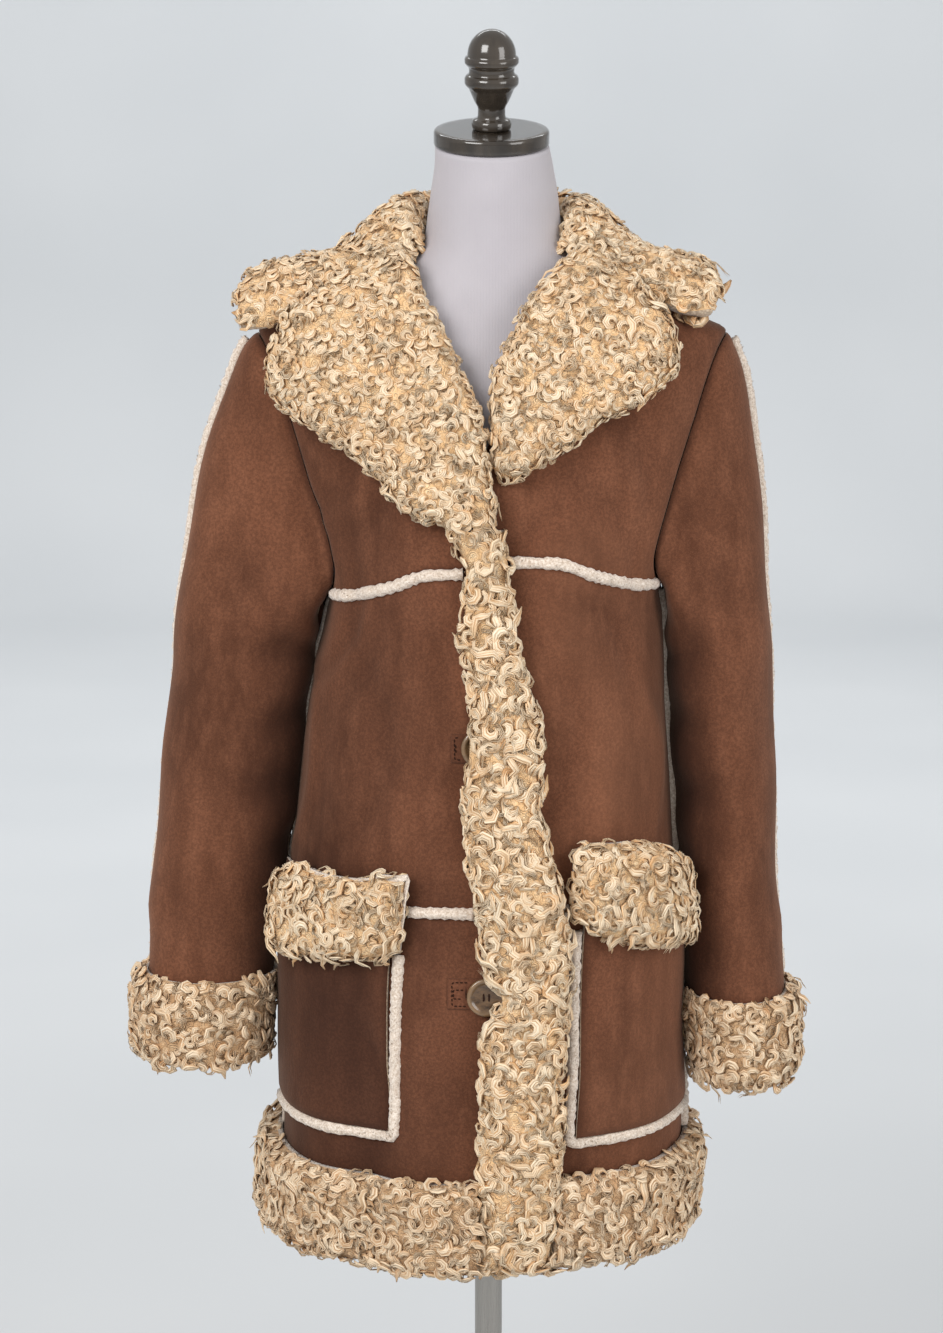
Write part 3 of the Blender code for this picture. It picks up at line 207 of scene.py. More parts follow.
def blend_colours(tree, amount, first, second, mode="MIX"):
    """Mix of two colours, each a value or a socket."""
    made = add_node(tree, "Mix", {0: amount}, data_type="RGBA", blend_type=mode)
    for key, colour in ((6, first), (7, second)):
        if isinstance(colour, bpy.types.NodeSocket):
            tree.links.new(colour, made.inputs[key])
        else:
            made.inputs[key].default_value = (*colour, 1.0)
    return made.outputs[2]


def spread(tree, value, low, high, to_low=0.0, to_high=1.0):
    """Value stretched from one range to another and kept inside it."""
    return add_node(tree, "MapRange", {0: value, 1: low, 2: high, 3: to_low, 4: to_high}).outputs[0]


def paint(tree, shader, colour, *layers):
    """Base colour: a first colour and layers over it.  Each layer gives a value, the range
    it runs over, how much the layer covers at both ends of it, its colour and a blend mode."""
    for value, low, high, to_low, to_high, over, *mode in layers:
        colour = blend_colours(tree, spread(tree, value, low, high, to_low, to_high), colour, over, *mode)
    tree.links.new(colour, shader.inputs["Base Color"])


def bump(tree, shader, height, distance, strength=1.0, under=None):
    """Bump on the shader's normal, on top of another bump if given."""
    made = add_node(tree, "Bump", {"Height": height, "Distance": distance, "Strength": strength})
    if under is not None:
        tree.links.new(under, made.inputs["Normal"])
    tree.links.new(made.outputs[0], shader.inputs["Normal"])
    return made.outputs[0]


def settle(item, slot, *nodes):
    """The piece rides on the stand and stands for its solids, which it hides; the slot is not used."""
    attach(item, "root")
    if nodes:
        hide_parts(*nodes)


paper, tree, shader = new_material("paper_sheet", 0.9)
# soft painted shadows: the sheet a little darker in some broad patches and lighter in others
paint(tree, shader, (0.590, 0.612, 0.632), (noise(tree, 1.1), 0.3, 0.7, 0, 1, (0.630, 0.650, 0.668)))
bend = np.radians(np.linspace(-90, 0, 13))
sheet_y = np.concatenate([[-SHEET_REACH], SHEET_REACH - SHEET_BEND + SHEET_BEND * np.cos(bend), [SHEET_REACH]])
sheet_z = np.concatenate([[0.0], SHEET_BEND + SHEET_BEND * np.sin(bend), [SHEET_HEIGHT]])
sheet_x = np.linspace(-SHEET_REACH, SHEET_REACH, 11)
sheet_points = np.stack(np.broadcast_arrays(sheet_x[None, :], sheet_y[:, None], sheet_z[:, None]), -1)
backdrop = add_piece("paper_backdrop", sheet_points.reshape(-1, 3), quads(len(sheet_y), 11)[:, ::-1],
                     materials=[paper])


# ---------------------------------------------------------------- the coat's shape
# The body of the coat as level rings, with the soft folds of the skirt and the smaller
# creases of worn suede; every panel, pocket and strip of wool is laid on this shape.
LEFT = 1
RIGHT = -1
WORD = {RIGHT: "right", LEFT: "left"}
WALL = 0.0040              # suede with its short inner wool
LAP = WALL + 0.0012        # how far the right front stands off where it laps the left
LAP_RAMP = 0.055
LAP_AHEAD = 0.022
HEM_Z = 0.570
FUR_HEM_Z = 0.566
FUR_HEM_TOP = 0.643
HIP_Z = 0.872
NECK_Z = 1.402
TIP_Z = 1.335
SIDE_TURN = np.radians(-3.0)
METRES_A_DEGREE = 0.0025   # on the body, for the creases
CREASE_BOW = 6.0
CREASE_DEPTH = 2.4
UNEVEN = 0.0008
BESIDE_ARM = (0.0010, 0.0016)     # fullness at the side seams, and how much more at the chest
BEHIND_ARM = 0.0050               # fullness of the back, 9 degrees behind the side seams
NORMAL_STEP = 1e-4

RING_Z = [0.560, 0.660, 0.800, 0.887, 0.964, 1.055, 1.120, 1.155, 1.205, 1.285, 1.335, 1.350, 1.370, 1.385, 1.402]
RINGS = {
    "half_width": [0.1720, 0.1730, 0.1715, 0.1635, 0.1560, 0.1460, 0.1395, 0.1470, 0.1610, 0.1830, 0.1955,
                   0.1665, 0.1280, 0.0990, 0.0660],
    "front": [0.150, 0.150, 0.149, 0.145, 0.139, 0.131, 0.127, 0.125, 0.121, 0.107, 0.088, 0.082, 0.074,
              0.067, 0.060],
    "back": [0.146, 0.147, 0.145, 0.139, 0.131, 0.121, 0.118, 0.119, 0.119, 0.112, 0.097, 0.090, 0.080,
             0.071, 0.062],
    "centre_x": [-0.0095, -0.0070, -0.0070, -0.0050, -0.0035, 0.0000, 0.0030, 0.0030, 0.0025, 0.0025,
                 0.0025, 0.0025, 0.0025, 0.0030, 0.0030],
    "power": [2.3, 2.3, 2.3, 2.3, 2.3, 2.3, 2.3, 2.3, 2.3, 2.25, 2.2, 2.15, 2.1, 2.05, 2.0],
}
FOLDS = np.array([          # compass angle, width, depth at the hem, height where it fades out
    (-128, 9, -0.0050, 1.12), (-111, 7, 0.0030, 1.14), (-56, 10, -0.0030, 1.02), (-34, 9, 0.0030, 0.95),
    (28, 12, 0.0040, 1.00), (58, 11, -0.0050, 1.08), (92, 12, 0.0045, 1.12), (121, 10, -0.0050, 1.06),
    (150, 11, 0.0040, 0.98)])
CREASES = np.array([        # compass angle, height, half length, half width, lean, depth
    (-146, 1.090, 0.060, 0.010, 62, -0.0022), (-139, 1.055, 0.050, 0.012, 50, -0.0016),
    (-124, 0.985, 0.080, 0.012, 84, -0.0022), (-116, 0.935, 0.055, 0.009, 96, 0.0014),
    (-106, 1.070, 0.045, 0.010, 100, -0.0013), (-131, 1.200, 0.050, 0.013, 48, -0.0020),
    (-142, 1.235, 0.060, 0.012, 66, -0.0022), (-158, 0.960, 0.070, 0.012, 82, 0.0018),
    (-44, 1.195, 0.055, 0.013, 132, -0.0020), (-34, 1.235, 0.060, 0.012, 112, -0.0024),
    (-40, 1.085, 0.050, 0.011, 118, -0.0018), (-58, 1.020, 0.070, 0.012, 92, -0.0018),
    (-49, 0.950, 0.060, 0.010, 84, 0.0013), (-70, 1.190, 0.045, 0.012, 38, -0.0014),
    (-22, 0.990, 0.060, 0.011, 98, 0.0017), (-118, 0.705, 0.050, 0.010, 88, -0.0014),
    (-66, 0.700, 0.055, 0.011, 95, -0.0016), (30, 1.080, 0.055, 0.012, 60, -0.0022),
    (44, 1.200, 0.060, 0.013, 72, -0.0020), (70, 1.050, 0.075, 0.014, 86, -0.0022),
    (100, 1.010, 0.080, 0.014, 94, 0.0018), (84, 1.230, 0.060, 0.015, 10, -0.0016),
    (128, 1.065, 0.065, 0.013, 104, -0.0022), (143, 1.205, 0.060, 0.012, 112, -0.0020),
    (60, 0.900, 0.070, 0.012, 88, 0.0016), (112, 0.890, 0.060, 0.011, 94, -0.0018),
    (36, 0.760, 0.060, 0.012, 92, -0.0016), (140, 0.760, 0.065, 0.012, 86, 0.0016),
    (80, 0.720, 0.060, 0.013, 91, -0.0016), (160, 1.080, 0.045, 0.011, 118, -0.0016)])


def through(at, knots, values):
    """Smooth curve through the knots that never overshoots them (monotone cubic)."""
    knots = np.asarray(knots, float)
    values = np.asarray(values, float)
    span = np.diff(knots)
    rise = np.diff(values) / span
    same = rise[:-1] * rise[1:] > 0
    slope = np.empty_like(values)
    slope[0] = rise[0]
    slope[-1] = rise[-1]
    total = np.where(same, rise[:-1] + rise[1:], 1.0)
    slope[1:-1] = np.where(same, 2 * rise[:-1] * rise[1:] / total, 0.0)
    at = np.clip(at, knots[0], knots[-1])
    i = np.clip(np.searchsorted(knots, at, side="right") - 1, 0, len(span) - 1)
    t = (at - knots[i]) / span[i]
    return ((1 + 2 * t) * (1 - t) ** 2 * values[i] + t * (1 - t) ** 2 * span[i] * slope[i]
            + t * t * (3 - 2 * t) * values[i + 1] - t * t * (1 - t) * span[i] * slope[i + 1])


def ease(t):
    """Smooth step from 0 to 1."""
    t = np.clip(t, 0.0, 1.0)
    return t * t * (3 - 2 * t)


def ends(count):
    """Shares 0..1 that crowd a little towards both ends."""
    return 0.5 * even(count) + 0.5 * (0.5 - 0.5 * np.cos(PI * even(count)))


def from_side(degrees):
    """Degrees to the nearer of the two side lines."""
    return np.minimum(np.abs((degrees + 180) % 360 - 180), np.abs(degrees % 360 - 180))


def drape(angle, z):
    """Push outwards: the skirt's folds, which grow from their top to the hem, long soft
    creases as leaning dents, fullness beside and behind the arms, and a slow unevenness
    from three crossed waves."""
    degrees = np.degrees(angle)
    push = np.zeros(np.broadcast(angle, z).shape)
    for at, width, depth, top in FOLDS:
        away = (degrees - at + 180.0) % 360.0 - 180.0
        push = push + depth * ease((top - z) / (top - HEM_Z)) * bell(away / width)
    for at, height, length, width, lean, depth in CREASES:
        away = ((degrees - at + 180.0) % 360.0 - 180.0) * METRES_A_DEGREE
        up = z - height
        c = np.cos(np.radians(lean))
        s = np.sin(np.radians(lean))
        along = away * c + up * s
        across = away * s - up * c + CREASE_BOW * along * along
        push = push + CREASE_DEPTH * depth * bell(along / length) * bell(across / width)
    to_side = from_side(degrees)
    beside_arm = (BESIDE_ARM[0] + BESIDE_ARM[1] * ease((z - 1.0) / 0.06)) * bell(to_side / 13)
    push = push + beside_arm * ease((z - 0.83) / 0.04) * ease((1.118 - z) / 0.02)
    behind_arm = bell((to_side - 9) / 8) * (np.mod(degrees, 360) < 180)
    push = push + BEHIND_ARM * behind_arm * ease((z - 1.02) / 0.03) * ease((1.154 - z) / 0.012)
    slow = np.sin(3 * angle + 41 * z) + np.sin(-5 * angle + 29 * z + 1.3) + np.sin(8 * angle + 17 * z + 4.0)
    return push + UNEVEN * slow * ease((1.36 - z) / 0.06)


def body(angle, z):
    """Point of the coat's outer surface: a squared oval ring at each height."""
    angle, z = np.broadcast_arrays(np.asarray(angle, float), np.asarray(z, float))
    half, front, back, middle, power = (through(z, RING_Z, RINGS[key])
                                        for key in ("half_width", "front", "back", "centre_x", "power"))
    c = np.cos(angle)
    s = np.sin(angle)
    deep = np.where(s < 0, front, back)
    reach = (np.abs(c / half) ** power + np.abs(s / deep) ** power) ** (-1 / power) + drape(angle, z)
    return np.stack([middle + reach * c, reach * s, z], -1)


def outward(angle, z):
    """Unit normal of the body surface."""
    across = body(angle + NORMAL_STEP, z) - body(angle - NORMAL_STEP, z)
    upward = body(angle, np.asarray(z) + NORMAL_STEP) - body(angle, np.asarray(z) - NORMAL_STEP)
    return unit(np.cross(across, upward))


def front_angle(x, z):
    """Compass angle at which the front of the ring at z has that x."""
    half, front, power, middle = (through(z, RING_Z, RINGS[key])
                                  for key in ("half_width", "front", "power", "centre_x"))
    off = x - middle
    return np.arctan2(-front * (1 - np.clip(np.abs(off) / half, 0, 1) ** power) ** (1 / power), off)


def turned(side, turn, behind=False):
    """Compass angle of a turn from the side seam line: negative turns are forward."""
    if side == LEFT:
        return np.asarray(turn, float)
    return (PI if behind else -PI) - np.asarray(turn, float)


UNDER_EDGE_Z = [0.560, 0.850, 1.162]
UNDER_EDGE_X = [-0.028, -0.028, -0.034]
OVER_EDGE_Z = [0.560, 0.750, 0.850, 0.920, 1.000, 1.100, 1.153]
OVER_EDGE_X = [0.018, 0.024, 0.025, 0.016, 0.011, 0.001, -0.002]
OVER_ROLL_Z = [1.153, 1.200, 1.240, 1.270, 1.293, 1.330, 1.350, 1.375]
OVER_ROLL_X = [-0.002, -0.004, -0.006, -0.010, -0.020, -0.037, -0.048, -0.060]
UNDER_ROLL_Z = [1.162, 1.200, 1.235, 1.270, 1.300, 1.322, 1.342, 1.366, 1.380]
UNDER_ROLL_X = [-0.034, -0.026, -0.008, 0.003, 0.007, 0.014, 0.026, 0.038, 0.050]
EDGE = {RIGHT: (OVER_EDGE_Z, OVER_EDGE_X), LEFT: (UNDER_EDGE_Z, UNDER_EDGE_X)}
ROLL = {RIGHT: (OVER_ROLL_Z, OVER_ROLL_X), LEFT: (UNDER_ROLL_Z, UNDER_ROLL_X)}


def lap(angle, z):
    """How far the right front stands off the body to lie on the left front."""
    x = body(angle, z)[..., 0]
    edge = np.where(z < UNDER_EDGE_Z[-1], through(z, UNDER_EDGE_Z, UNDER_EDGE_X),
                    through(z, UNDER_ROLL_Z, UNDER_ROLL_X))
    return LAP * ease((x - edge + LAP_AHEAD + LAP_RAMP) / LAP_RAMP)


def route(angles, heights):
    """Smooth line through places (angle, z), run at even speed."""
    angles = np.asarray(angles, float)
    heights = np.asarray(heights, float)
    steps = np.linalg.norm(np.diff(body(angles, heights), axis=0), axis=1)
    run = np.concatenate([[0.0], np.cumsum(steps)]) / np.sum(steps)
    return lambda t: np.stack([through(t, run, angles), through(t, run, heights)], -1)


def between(first, last):
    """Straight line in (angle, z) between two places."""
    first = np.asarray(first, float)
    last = np.asarray(last, float)
    return lambda t: first + (last - first) * np.asarray(t)[..., None]


def patch(foot, head, start, stop, across, along):
    """Grid of places between four seam lines: rows run along, columns across."""
    s = across[None, :, None]
    t = along[:, None, None]
    low = foot(across)[None]
    high = head(across)[None]
    near = start(along)[:, None]
    far = stop(along)[:, None]
    corners = ((1 - s) * (1 - t) * low[:, :1] + s * (1 - t) * low[:, -1:]
               + (1 - s) * t * high[:, :1] + s * t * high[:, -1:])
    return (1 - t) * low + t * high + (1 - s) * near + s * far - corners


# ---------------------------------------------------------------- dress form
# A padded torso under a smooth off-white knit, drawn in under the coat, with a bare
# neck; on the neck a lacquered plate with a turned knob, below a steel pole and base.
FORM_INSET_Z = [0.800, 0.880, 0.950, 1.000, 1.050, 1.120, 1.200, 1.300, 1.335, 1.370, 1.402]
FORM_INSET = [0.018, 0.024, 0.034, 0.034, 0.024, 0.011, 0.0080, 0.0088, 0.0104, 0.0082, 0.0074]
NECK_ROWS = np.array([      # height, half width, half depth, centre x, centre y, tilt in degrees
    (1.3975, 0.0602, 0.0565, 0.0030, 0.0000, 0.0), (1.4120, 0.0578, 0.0545, 0.0035, 0.0000, 0.0),
    (1.4300, 0.0550, 0.0520, 0.0035, -0.0005, 2.0), (1.4500, 0.0525, 0.0500, 0.0038, -0.0020, 5.0),
    (1.4700, 0.0492, 0.0482, 0.0035, -0.0035, 9.0), (1.4882, 0.0470, 0.0465, 0.0020, -0.0045, 11.4)])
FORM_FOOT_Z = 0.800
PLATE_TOP = np.array([0.0015, -0.0040, 1.5010])
PLATE_TILT = np.radians(11.4)
PLATE_RADIUS = 0.0478
PLATE_HEIGHT = 0.0125
POLE_RADIUS = 0.0120
POLE_TOP = 0.7997             # just below the form
BASE_RADIUS = 0.1700
BASE_HEIGHT = 0.0100

around = 2 * PI * np.arange(80) / 80
levels = np.linspace(FORM_FOOT_Z, 1.385, 50)
creased, CREASES = CREASES, CREASES[:0]      # the form below is free of the coat's creases
torso = [body(around, z) - outward(around, z) * through(z, FORM_INSET_Z, FORM_INSET) for z in levels]
CREASES = creased
torso[0][:, 2] = FORM_FOOT_Z
neck_rows = np.stack([through(even(25), even(5), NECK_ROWS[:, i]) for i in range(6)], -1)
for height, half_width, half_depth, centre_x, centre_y, tilt in neck_rows:
    y = centre_y + half_depth * np.sin(around)
    torso.append(np.stack([centre_x + half_width * np.cos(around), y, height + y * np.tan(np.radians(tilt))], -1))
torso = np.array(torso)
joint = len(levels)
for _ in range(12):
    near_joint = torso[joint - 7:joint + 7]
    torso[joint - 6:joint + 6] = 0.25 * near_joint[:-2] + 0.5 * near_joint[1:-1] + 0.25 * near_joint[2:]


def end_cap(ring):
    """Rings that shrink to the middle of a ring and close it."""
    middle = ring.mean(axis=0)
    return np.stack([middle + (ring - middle) * share for share in (0.66, 0.33, 0.001)])


jersey, tree, shader = new_material("form_jersey", 0.78, Sheen_Weight=0.25, Sheen_Roughness=0.5)
rib = add_node(tree, "TexWave", {"Vector": object_place(tree), "Scale": 260.0, "Distortion": 1.5,
                                 "Detail": 1.0}, bands_direction="X").outputs["Fac"]
paint(tree, shader, (0.427, 0.405, 0.440), (noise(tree, 14.0, 3.0), 0.3, 0.7, 0, 1, (0.478, 0.457, 0.492)),
      (rib, 0.0, 1.0, 0.0, 0.10, (0.42, 0.40, 0.43)))
bump(tree, shader, noise(tree, 900.0), 0.00015, 0.6, bump(tree, shader, rib, 0.0002, 0.5))
torso = np.concatenate([end_cap(torso[0])[::-1], torso, end_cap(torso[-1])])
settle(add_piece("form_cover", torso.reshape(-1, 3), quads(*torso.shape[:2], ring=True), materials=[jersey]),
       "jersey", "form_torso")


def turned_piece(name, profile, material, centre, tilt=0.0, segments=64):
    """Turned solid: rows of (radius, height) carried round an axis that leans forward."""
    profile = np.asarray(profile, float)
    spin = 2 * PI * np.arange(segments) / segments
    radius = np.maximum(profile[:, :1], 1e-5)
    grid = np.stack(np.broadcast_arrays(radius * np.cos(spin), radius * np.sin(spin), profile[:, 1:]), -1)
    lean = np.array([[1, 0, 0], [0, np.cos(tilt), -np.sin(tilt)], [0, np.sin(tilt), np.cos(tilt)]])
    grid = grid @ lean.T + np.asarray(centre)
    return add_piece(name, grid.reshape(-1, 3), quads(len(profile), segments, ring=True), materials=[material])


def rounded_profile(knots, steps):
    """Profile rows run smoothly through the knots by the length between them."""
    knots = np.asarray(knots, float)
    run = np.concatenate([[0.0], np.cumsum(np.hypot(*np.diff(knots, axis=0).T))])
    at = np.linspace(0, run[-1], steps)
    return np.stack([through(at, run, knots[:, 0]), through(at, run, knots[:, 1])], -1)


lacquer, tree, shader = new_material("dark_lacquered_wood", 0.16, Coat_Weight=0.6, Coat_Roughness=0.05,
                                     Specular_IOR_Level=0.6)
grain = noise(tree, 60.0, 4.0, (1.0, 1.0, 0.12))
paint(tree, shader, (0.020, 0.015, 0.011), (grain, 0.35, 0.7, 0, 1, (0.055, 0.043, 0.032)))
bump(tree, shader, grain, 0.0002, 0.25)

lean = np.array([0.0, -np.sin(PLATE_TILT), np.cos(PLATE_TILT)])
rim, top = PLATE_RADIUS, PLATE_HEIGHT
quarter = np.radians([0, 30, 60, 90])
plate_profile = [(0, 0), (rim - 0.003, 0)]
plate_profile += [(rim - 0.0015 + 0.0015 * np.sin(a), 0.0015 - 0.0015 * np.cos(a)) for a in quarter]
plate_profile += [(rim, 0.0040), (rim, top - 0.0035)]
plate_profile += [(rim - 0.0025 + 0.0025 * np.cos(a), top - 0.0025 + 0.0025 * np.sin(a)) for a in quarter]
plate_profile += [(rim - 0.006, top), (0.017, top), (0, top)]
settle(turned_piece("neck_plate", plate_profile, lacquer, PLATE_TOP - lean * top, PLATE_TILT, 96),
       "dark_wood", "neck_cap")

knob_foot = [(0.0, 0.0), (0.0150, 0.0), (0.0160, 0.0012), (0.0164, 0.0040), (0.0160, 0.0070), (0.0146, 0.0084)]
knob_stem = [(0.0118, 0.0092), (0.0113, 0.0120), (0.0113, 0.0165), (0.0145, 0.0235), (0.0190, 0.0340)]
knob_rings = [(0.0214, 0.0362), (0.0223, 0.0385), (0.0223, 0.0415), (0.0212, 0.0440), (0.0190, 0.0458),
              (0.0186, 0.0480), (0.0190, 0.0508), (0.0210, 0.0530), (0.0223, 0.0552), (0.0223, 0.0575),
              (0.0214, 0.0594), (0.0200, 0.0603)]
knob_ball = [(0.0200 * np.cos(a), 0.0605 + 0.0215 * np.sin(a)) for a in np.radians(np.linspace(4, 90, 16))]
knob_profile = np.concatenate([rounded_profile(knob_foot, 16), rounded_profile(knob_stem, 16),
                               rounded_profile(knob_rings, 40), knob_ball])
settle(turned_piece("turned_knob", knob_profile, lacquer, PLATE_TOP + lean * 0.0003, PLATE_TILT, 56),
       "dark_wood", "finial")

steel, tree, shader = new_material("brushed_steel", 0.30, Metallic=1.0)
brushing = noise(tree, 240.0, 2.0, (6.0, 6.0, 0.15))
paint(tree, shader, (0.30, 0.285, 0.265), (brushing, 0, 1, 0, 1, (0.44, 0.42, 0.39)))
tree.links.new(spread(tree, brushing, 0.3, 0.7, 0.24, 0.38), shader.inputs["Roughness"])
bump(tree, shader, brushing, 0.0001, 0.2)
pole_profile = [(0, 0.0103), *((POLE_RADIUS, z) for z in (0.0103, 0.02, 0.45, 0.7990)), (0.0117, 0.7996),
                (0, POLE_TOP)]
settle(turned_piece("steel_pole", pole_profile, steel, (0, 0, 0)), "steel", "pole")
base_profile = [(0, 0), (0.1692, 0), (BASE_RADIUS, 0.0008), (BASE_RADIUS, 0.0068)]
base_profile += [(0.167 + 0.003 * np.cos(a), 0.0070 + 0.003 * np.sin(a)) for a in np.radians([15, 40, 65, 90])]
base_profile += [(radius, BASE_HEIGHT) for radius in (0.160, 0.06, 0.014, 0)]
settle(turned_piece("steel_base", base_profile, steel, (0, 0, 0), segments=128), "steel", "base_plate")


# ---------------------------------------------------------------- suede panels
# Sheepskin cut with the suede outside and its short wool inside: yoke, body and skirt
# to each front and to the back, each a thin shell that dips at its seams.
CHEST_TURN = [-110, -68, -52, -30, 0]
CHEST_Z = [1.153, 1.1505, 1.1375, 1.125, 1.119]
CHEST_LEFT_RISE = 0.009
CHEST_BACK_RISE = 0.012
ARMHOLE_ALONG = [0.00, 0.15, 0.30, 0.50, 0.75, 0.90, 0.96, 1.00]
ARMHOLE_FRONT = [-3, -17, -25, -21, -15, -10, -5.5, 0]
ARMHOLE_BACK = [-3, 11, 20, 19, 15, 10, 5.5, 0]
ARMHOLE_RISE = [0.00, 0.02, 0.13, 0.36, 0.70, 0.920, 0.982, 1.00]
SHOULDER_SHARE = 0.22
SEAM_DIP = 0.0013
DIP_WIDTH = 0.0028
SEAM_SHADE = 0.0045         # how far the painted shade of a seam reaches into the nap
FULL_FOLD = 0.0190          # push at which the painted shading of a fold is 1

suede, tree, shader = new_material(
    "brown_suede", 0.95, Sheen_Weight=0.22, Sheen_Roughness=0.4, Sheen_Tint=(0.95, 0.66, 0.50, 1.0),
    Specular_IOR_Level=0.2)
nap_wide = noise(tree, 15.0, 5.0, (1, 1, 0.35), roughness=0.60)
nap_brushed = noise(tree, 55.0, 4.0, (1.0, 1.0, 0.45), roughness=0.65)
nap_grain = noise(tree, 420.0, 3.0, roughness=0.7)
nap_fine = noise(tree, 1300.0, 2.0)
# Over the random nap, the last three layers paint light and shade: painted shade along the seams, painted shade in
# the hollows of folds, at the sides and on the sleeves' inner sides, and a painted highlight on the ridges of
# folds.
seam, fold = read_values(tree, "seam", "fold")
paint(tree, shader, (0.092, 0.0335, 0.0165),
      (nap_wide, 0.36, 0.66, 0.0, 1.0, (0.205, 0.079, 0.0410)),
      (nap_brushed, 0.44, 0.72, 0.0, 0.55, (0.260, 0.106, 0.057)),
      (nap_grain, 0.42, 0.62, 0.50, 0.0, (0.070, 0.026, 0.014)),
      (nap_fine, 0.5, 0.8, 0.0, 0.30, (0.290, 0.125, 0.070)),
      (seam, 0.1, 1.0, 0.0, 0.60, (0.066, 0.025, 0.0145)),
      (fold, -1.2, 0.0, 0.92, 0.0, (0.022, 0.0082, 0.0052)),
      (fold, 0.0, 1.0, 0.0, 0.60, (0.270, 0.118, 0.064)))
relief = bump(tree, shader, nap_brushed, 0.0012, 0.40)
relief = bump(tree, shader, nap_grain, 0.0005, 0.55, relief)
bump(tree, shader, nap_fine, 0.0002, 0.5, relief)

short_wool, tree, shader = new_material("short_inner_wool", 0.95, Sheen_Weight=0.5)
short_curl = add_node(tree, "TexVoronoi", {"Vector": object_place(tree), "Scale": 420.0}).outputs[0]
paint(tree, shader, (0.66, 0.54, 0.41), (short_curl, 0.1, 0.7, 0, 1, (0.42, 0.31, 0.21)))
bump(tree, shader, short_curl, 0.0010, 0.8)


def level(z):
    """Function that gives one height everywhere."""
    return lambda *place: np.full(np.shape(place[-1]), z)


def chest_z(side, turn):
    """Height of the chest seam by the turn forward from the side seam."""
    return through(np.degrees(turn), CHEST_TURN, CHEST_Z) + (CHEST_LEFT_RISE if side == LEFT else 0.0)


def front_seam(side, edge_x, height):
    """Level or chest seam from the front edge to the side seam."""
    def line(t):
        start = front_angle(edge_x, height(side, -PI / 2))
        angle = start + (turned(side, SIDE_TURN) - start) * t
        return np.stack([angle, height(side, angle if side == LEFT else -PI - angle)], -1)
    return line


def back_chest_z(t):
    """Height of the back's chest seam, arched up to its middle."""
    plain = (1 - t) * chest_z(RIGHT, SIDE_TURN) + t * chest_z(LEFT, SIDE_TURN)
    return plain + CHEST_BACK_RISE * np.sin(PI * t)


def back_seam(height):
    """Seam across the back from the right side seam to the left one."""
    start = float(turned(RIGHT, SIDE_TURN, behind=True))
    return lambda t: np.stack([start + (SIDE_TURN - start) * t, height(t)], -1)


def upright(start, stop, angle_of):
    """Line from one height to another at the angle that a function of z gives."""
    def line(t):
        z = start + (stop - start) * t
        return np.stack([np.broadcast_to(angle_of(z), z.shape), z], -1)
    return line


def armhole(side, behind):
    """Front or back half of the armhole from the side seam up to the shoulder tip."""
    foot = chest_z(side, SIDE_TURN)

    def line(t):
        turn = np.radians(through(t, ARMHOLE_ALONG, ARMHOLE_BACK if behind else ARMHOLE_FRONT))
        z = foot + (TIP_Z - foot) * through(t, ARMHOLE_ALONG, ARMHOLE_RISE)
        return np.stack([turned(side, turn, behind), z], -1)
    return line


def roll_line(side):
    """Front edge above the chest seam: up the lapel's roll and round to the shoulder seam."""
    z = np.array(ROLL[side][0])
    angles = list(front_angle(np.array(ROLL[side][1]), z))
    last = angles[-1] if side == LEFT else -PI - angles[-1]
    angles += [float(turned(side, last * share)) for share in (0.6, 0.28, 0.0)]
    return route(angles, list(z) + [NECK_Z - 0.0105, NECK_Z - 0.0030, NECK_Z])


def seam_shares(count, length):
    """Shares 0..1 that are even inside and close together in the last 6 mm at each end."""
    close = np.array([0.0, 0.0008, 0.0022, 0.0045]) / length
    inside = np.linspace(0.0085 / length, 1 - 0.0085 / length, count)
    return np.concatenate([close, inside, 1 - close[::-1]])


def run_from(grid):
    """Distance of every point of a grid from the start of its row, and whole row lengths."""
    steps = np.linalg.norm(np.diff(grid, axis=1), axis=-1)
    run = np.concatenate([np.zeros((len(grid), 1)), np.cumsum(steps, axis=1)], axis=1)
    return run, run[:, -1:]


def seam_distance(grid):
    """Distance of every point to the nearest of the grid's four edges."""
    run, whole = run_from(grid)
    up, tall = run_from(grid.swapaxes(0, 1))
    return np.minimum(np.minimum(run, whole - run), np.minimum(up.T, (tall - up).T))


def shell(name, base, normal, low, high, materials, ring=False, **values):
    """Closed thin shell between base + low and base + high along the normals.  The outer
    cells carry the first material, the inner cells and the rims the second."""
    rows, columns = base.shape[:2]
    points = np.concatenate([(base + normal * np.broadcast_to(lift, (rows, columns))[..., None]).reshape(-1, 3)
                             for lift in (high, low)])
    count = rows * columns
    outer = quads(rows, columns, ring=ring)
    inner = quads(rows, columns, count, ring=ring)[:, ::-1]
    index = np.arange(count).reshape(rows, columns)
    if ring:
        borders = [np.append(index[0], index[0, 0]), np.append(index[-1], index[-1, 0])[::-1]]
    else:
        borders = [index[0], index[-1][::-1], index[:, -1], index[::-1, 0]]
    rims = np.concatenate([np.stack([b[1:], b[:-1], b[:-1] + count, b[1:] + count], -1) for b in borders])
    slots = np.concatenate([np.zeros(len(outer)), np.ones(len(inner) + len(rims))])
    doubled = {key: np.concatenate([np.ravel(value)] * 2) for key, value in values.items()}
    return add_piece(name, points, np.concatenate([outer, inner, rims]), slots, materials, **doubled)


cuts = {}


def cut_sheet(base):
    """Cut of a piece as a flat sheet: width and length of the skin, from the runs of its own
    surface."""
    width, length = (float(np.ceil(run_from(grid)[1].max() * 500) / 500) for grid in (base, base.swapaxes(0, 1)))
    return width, length


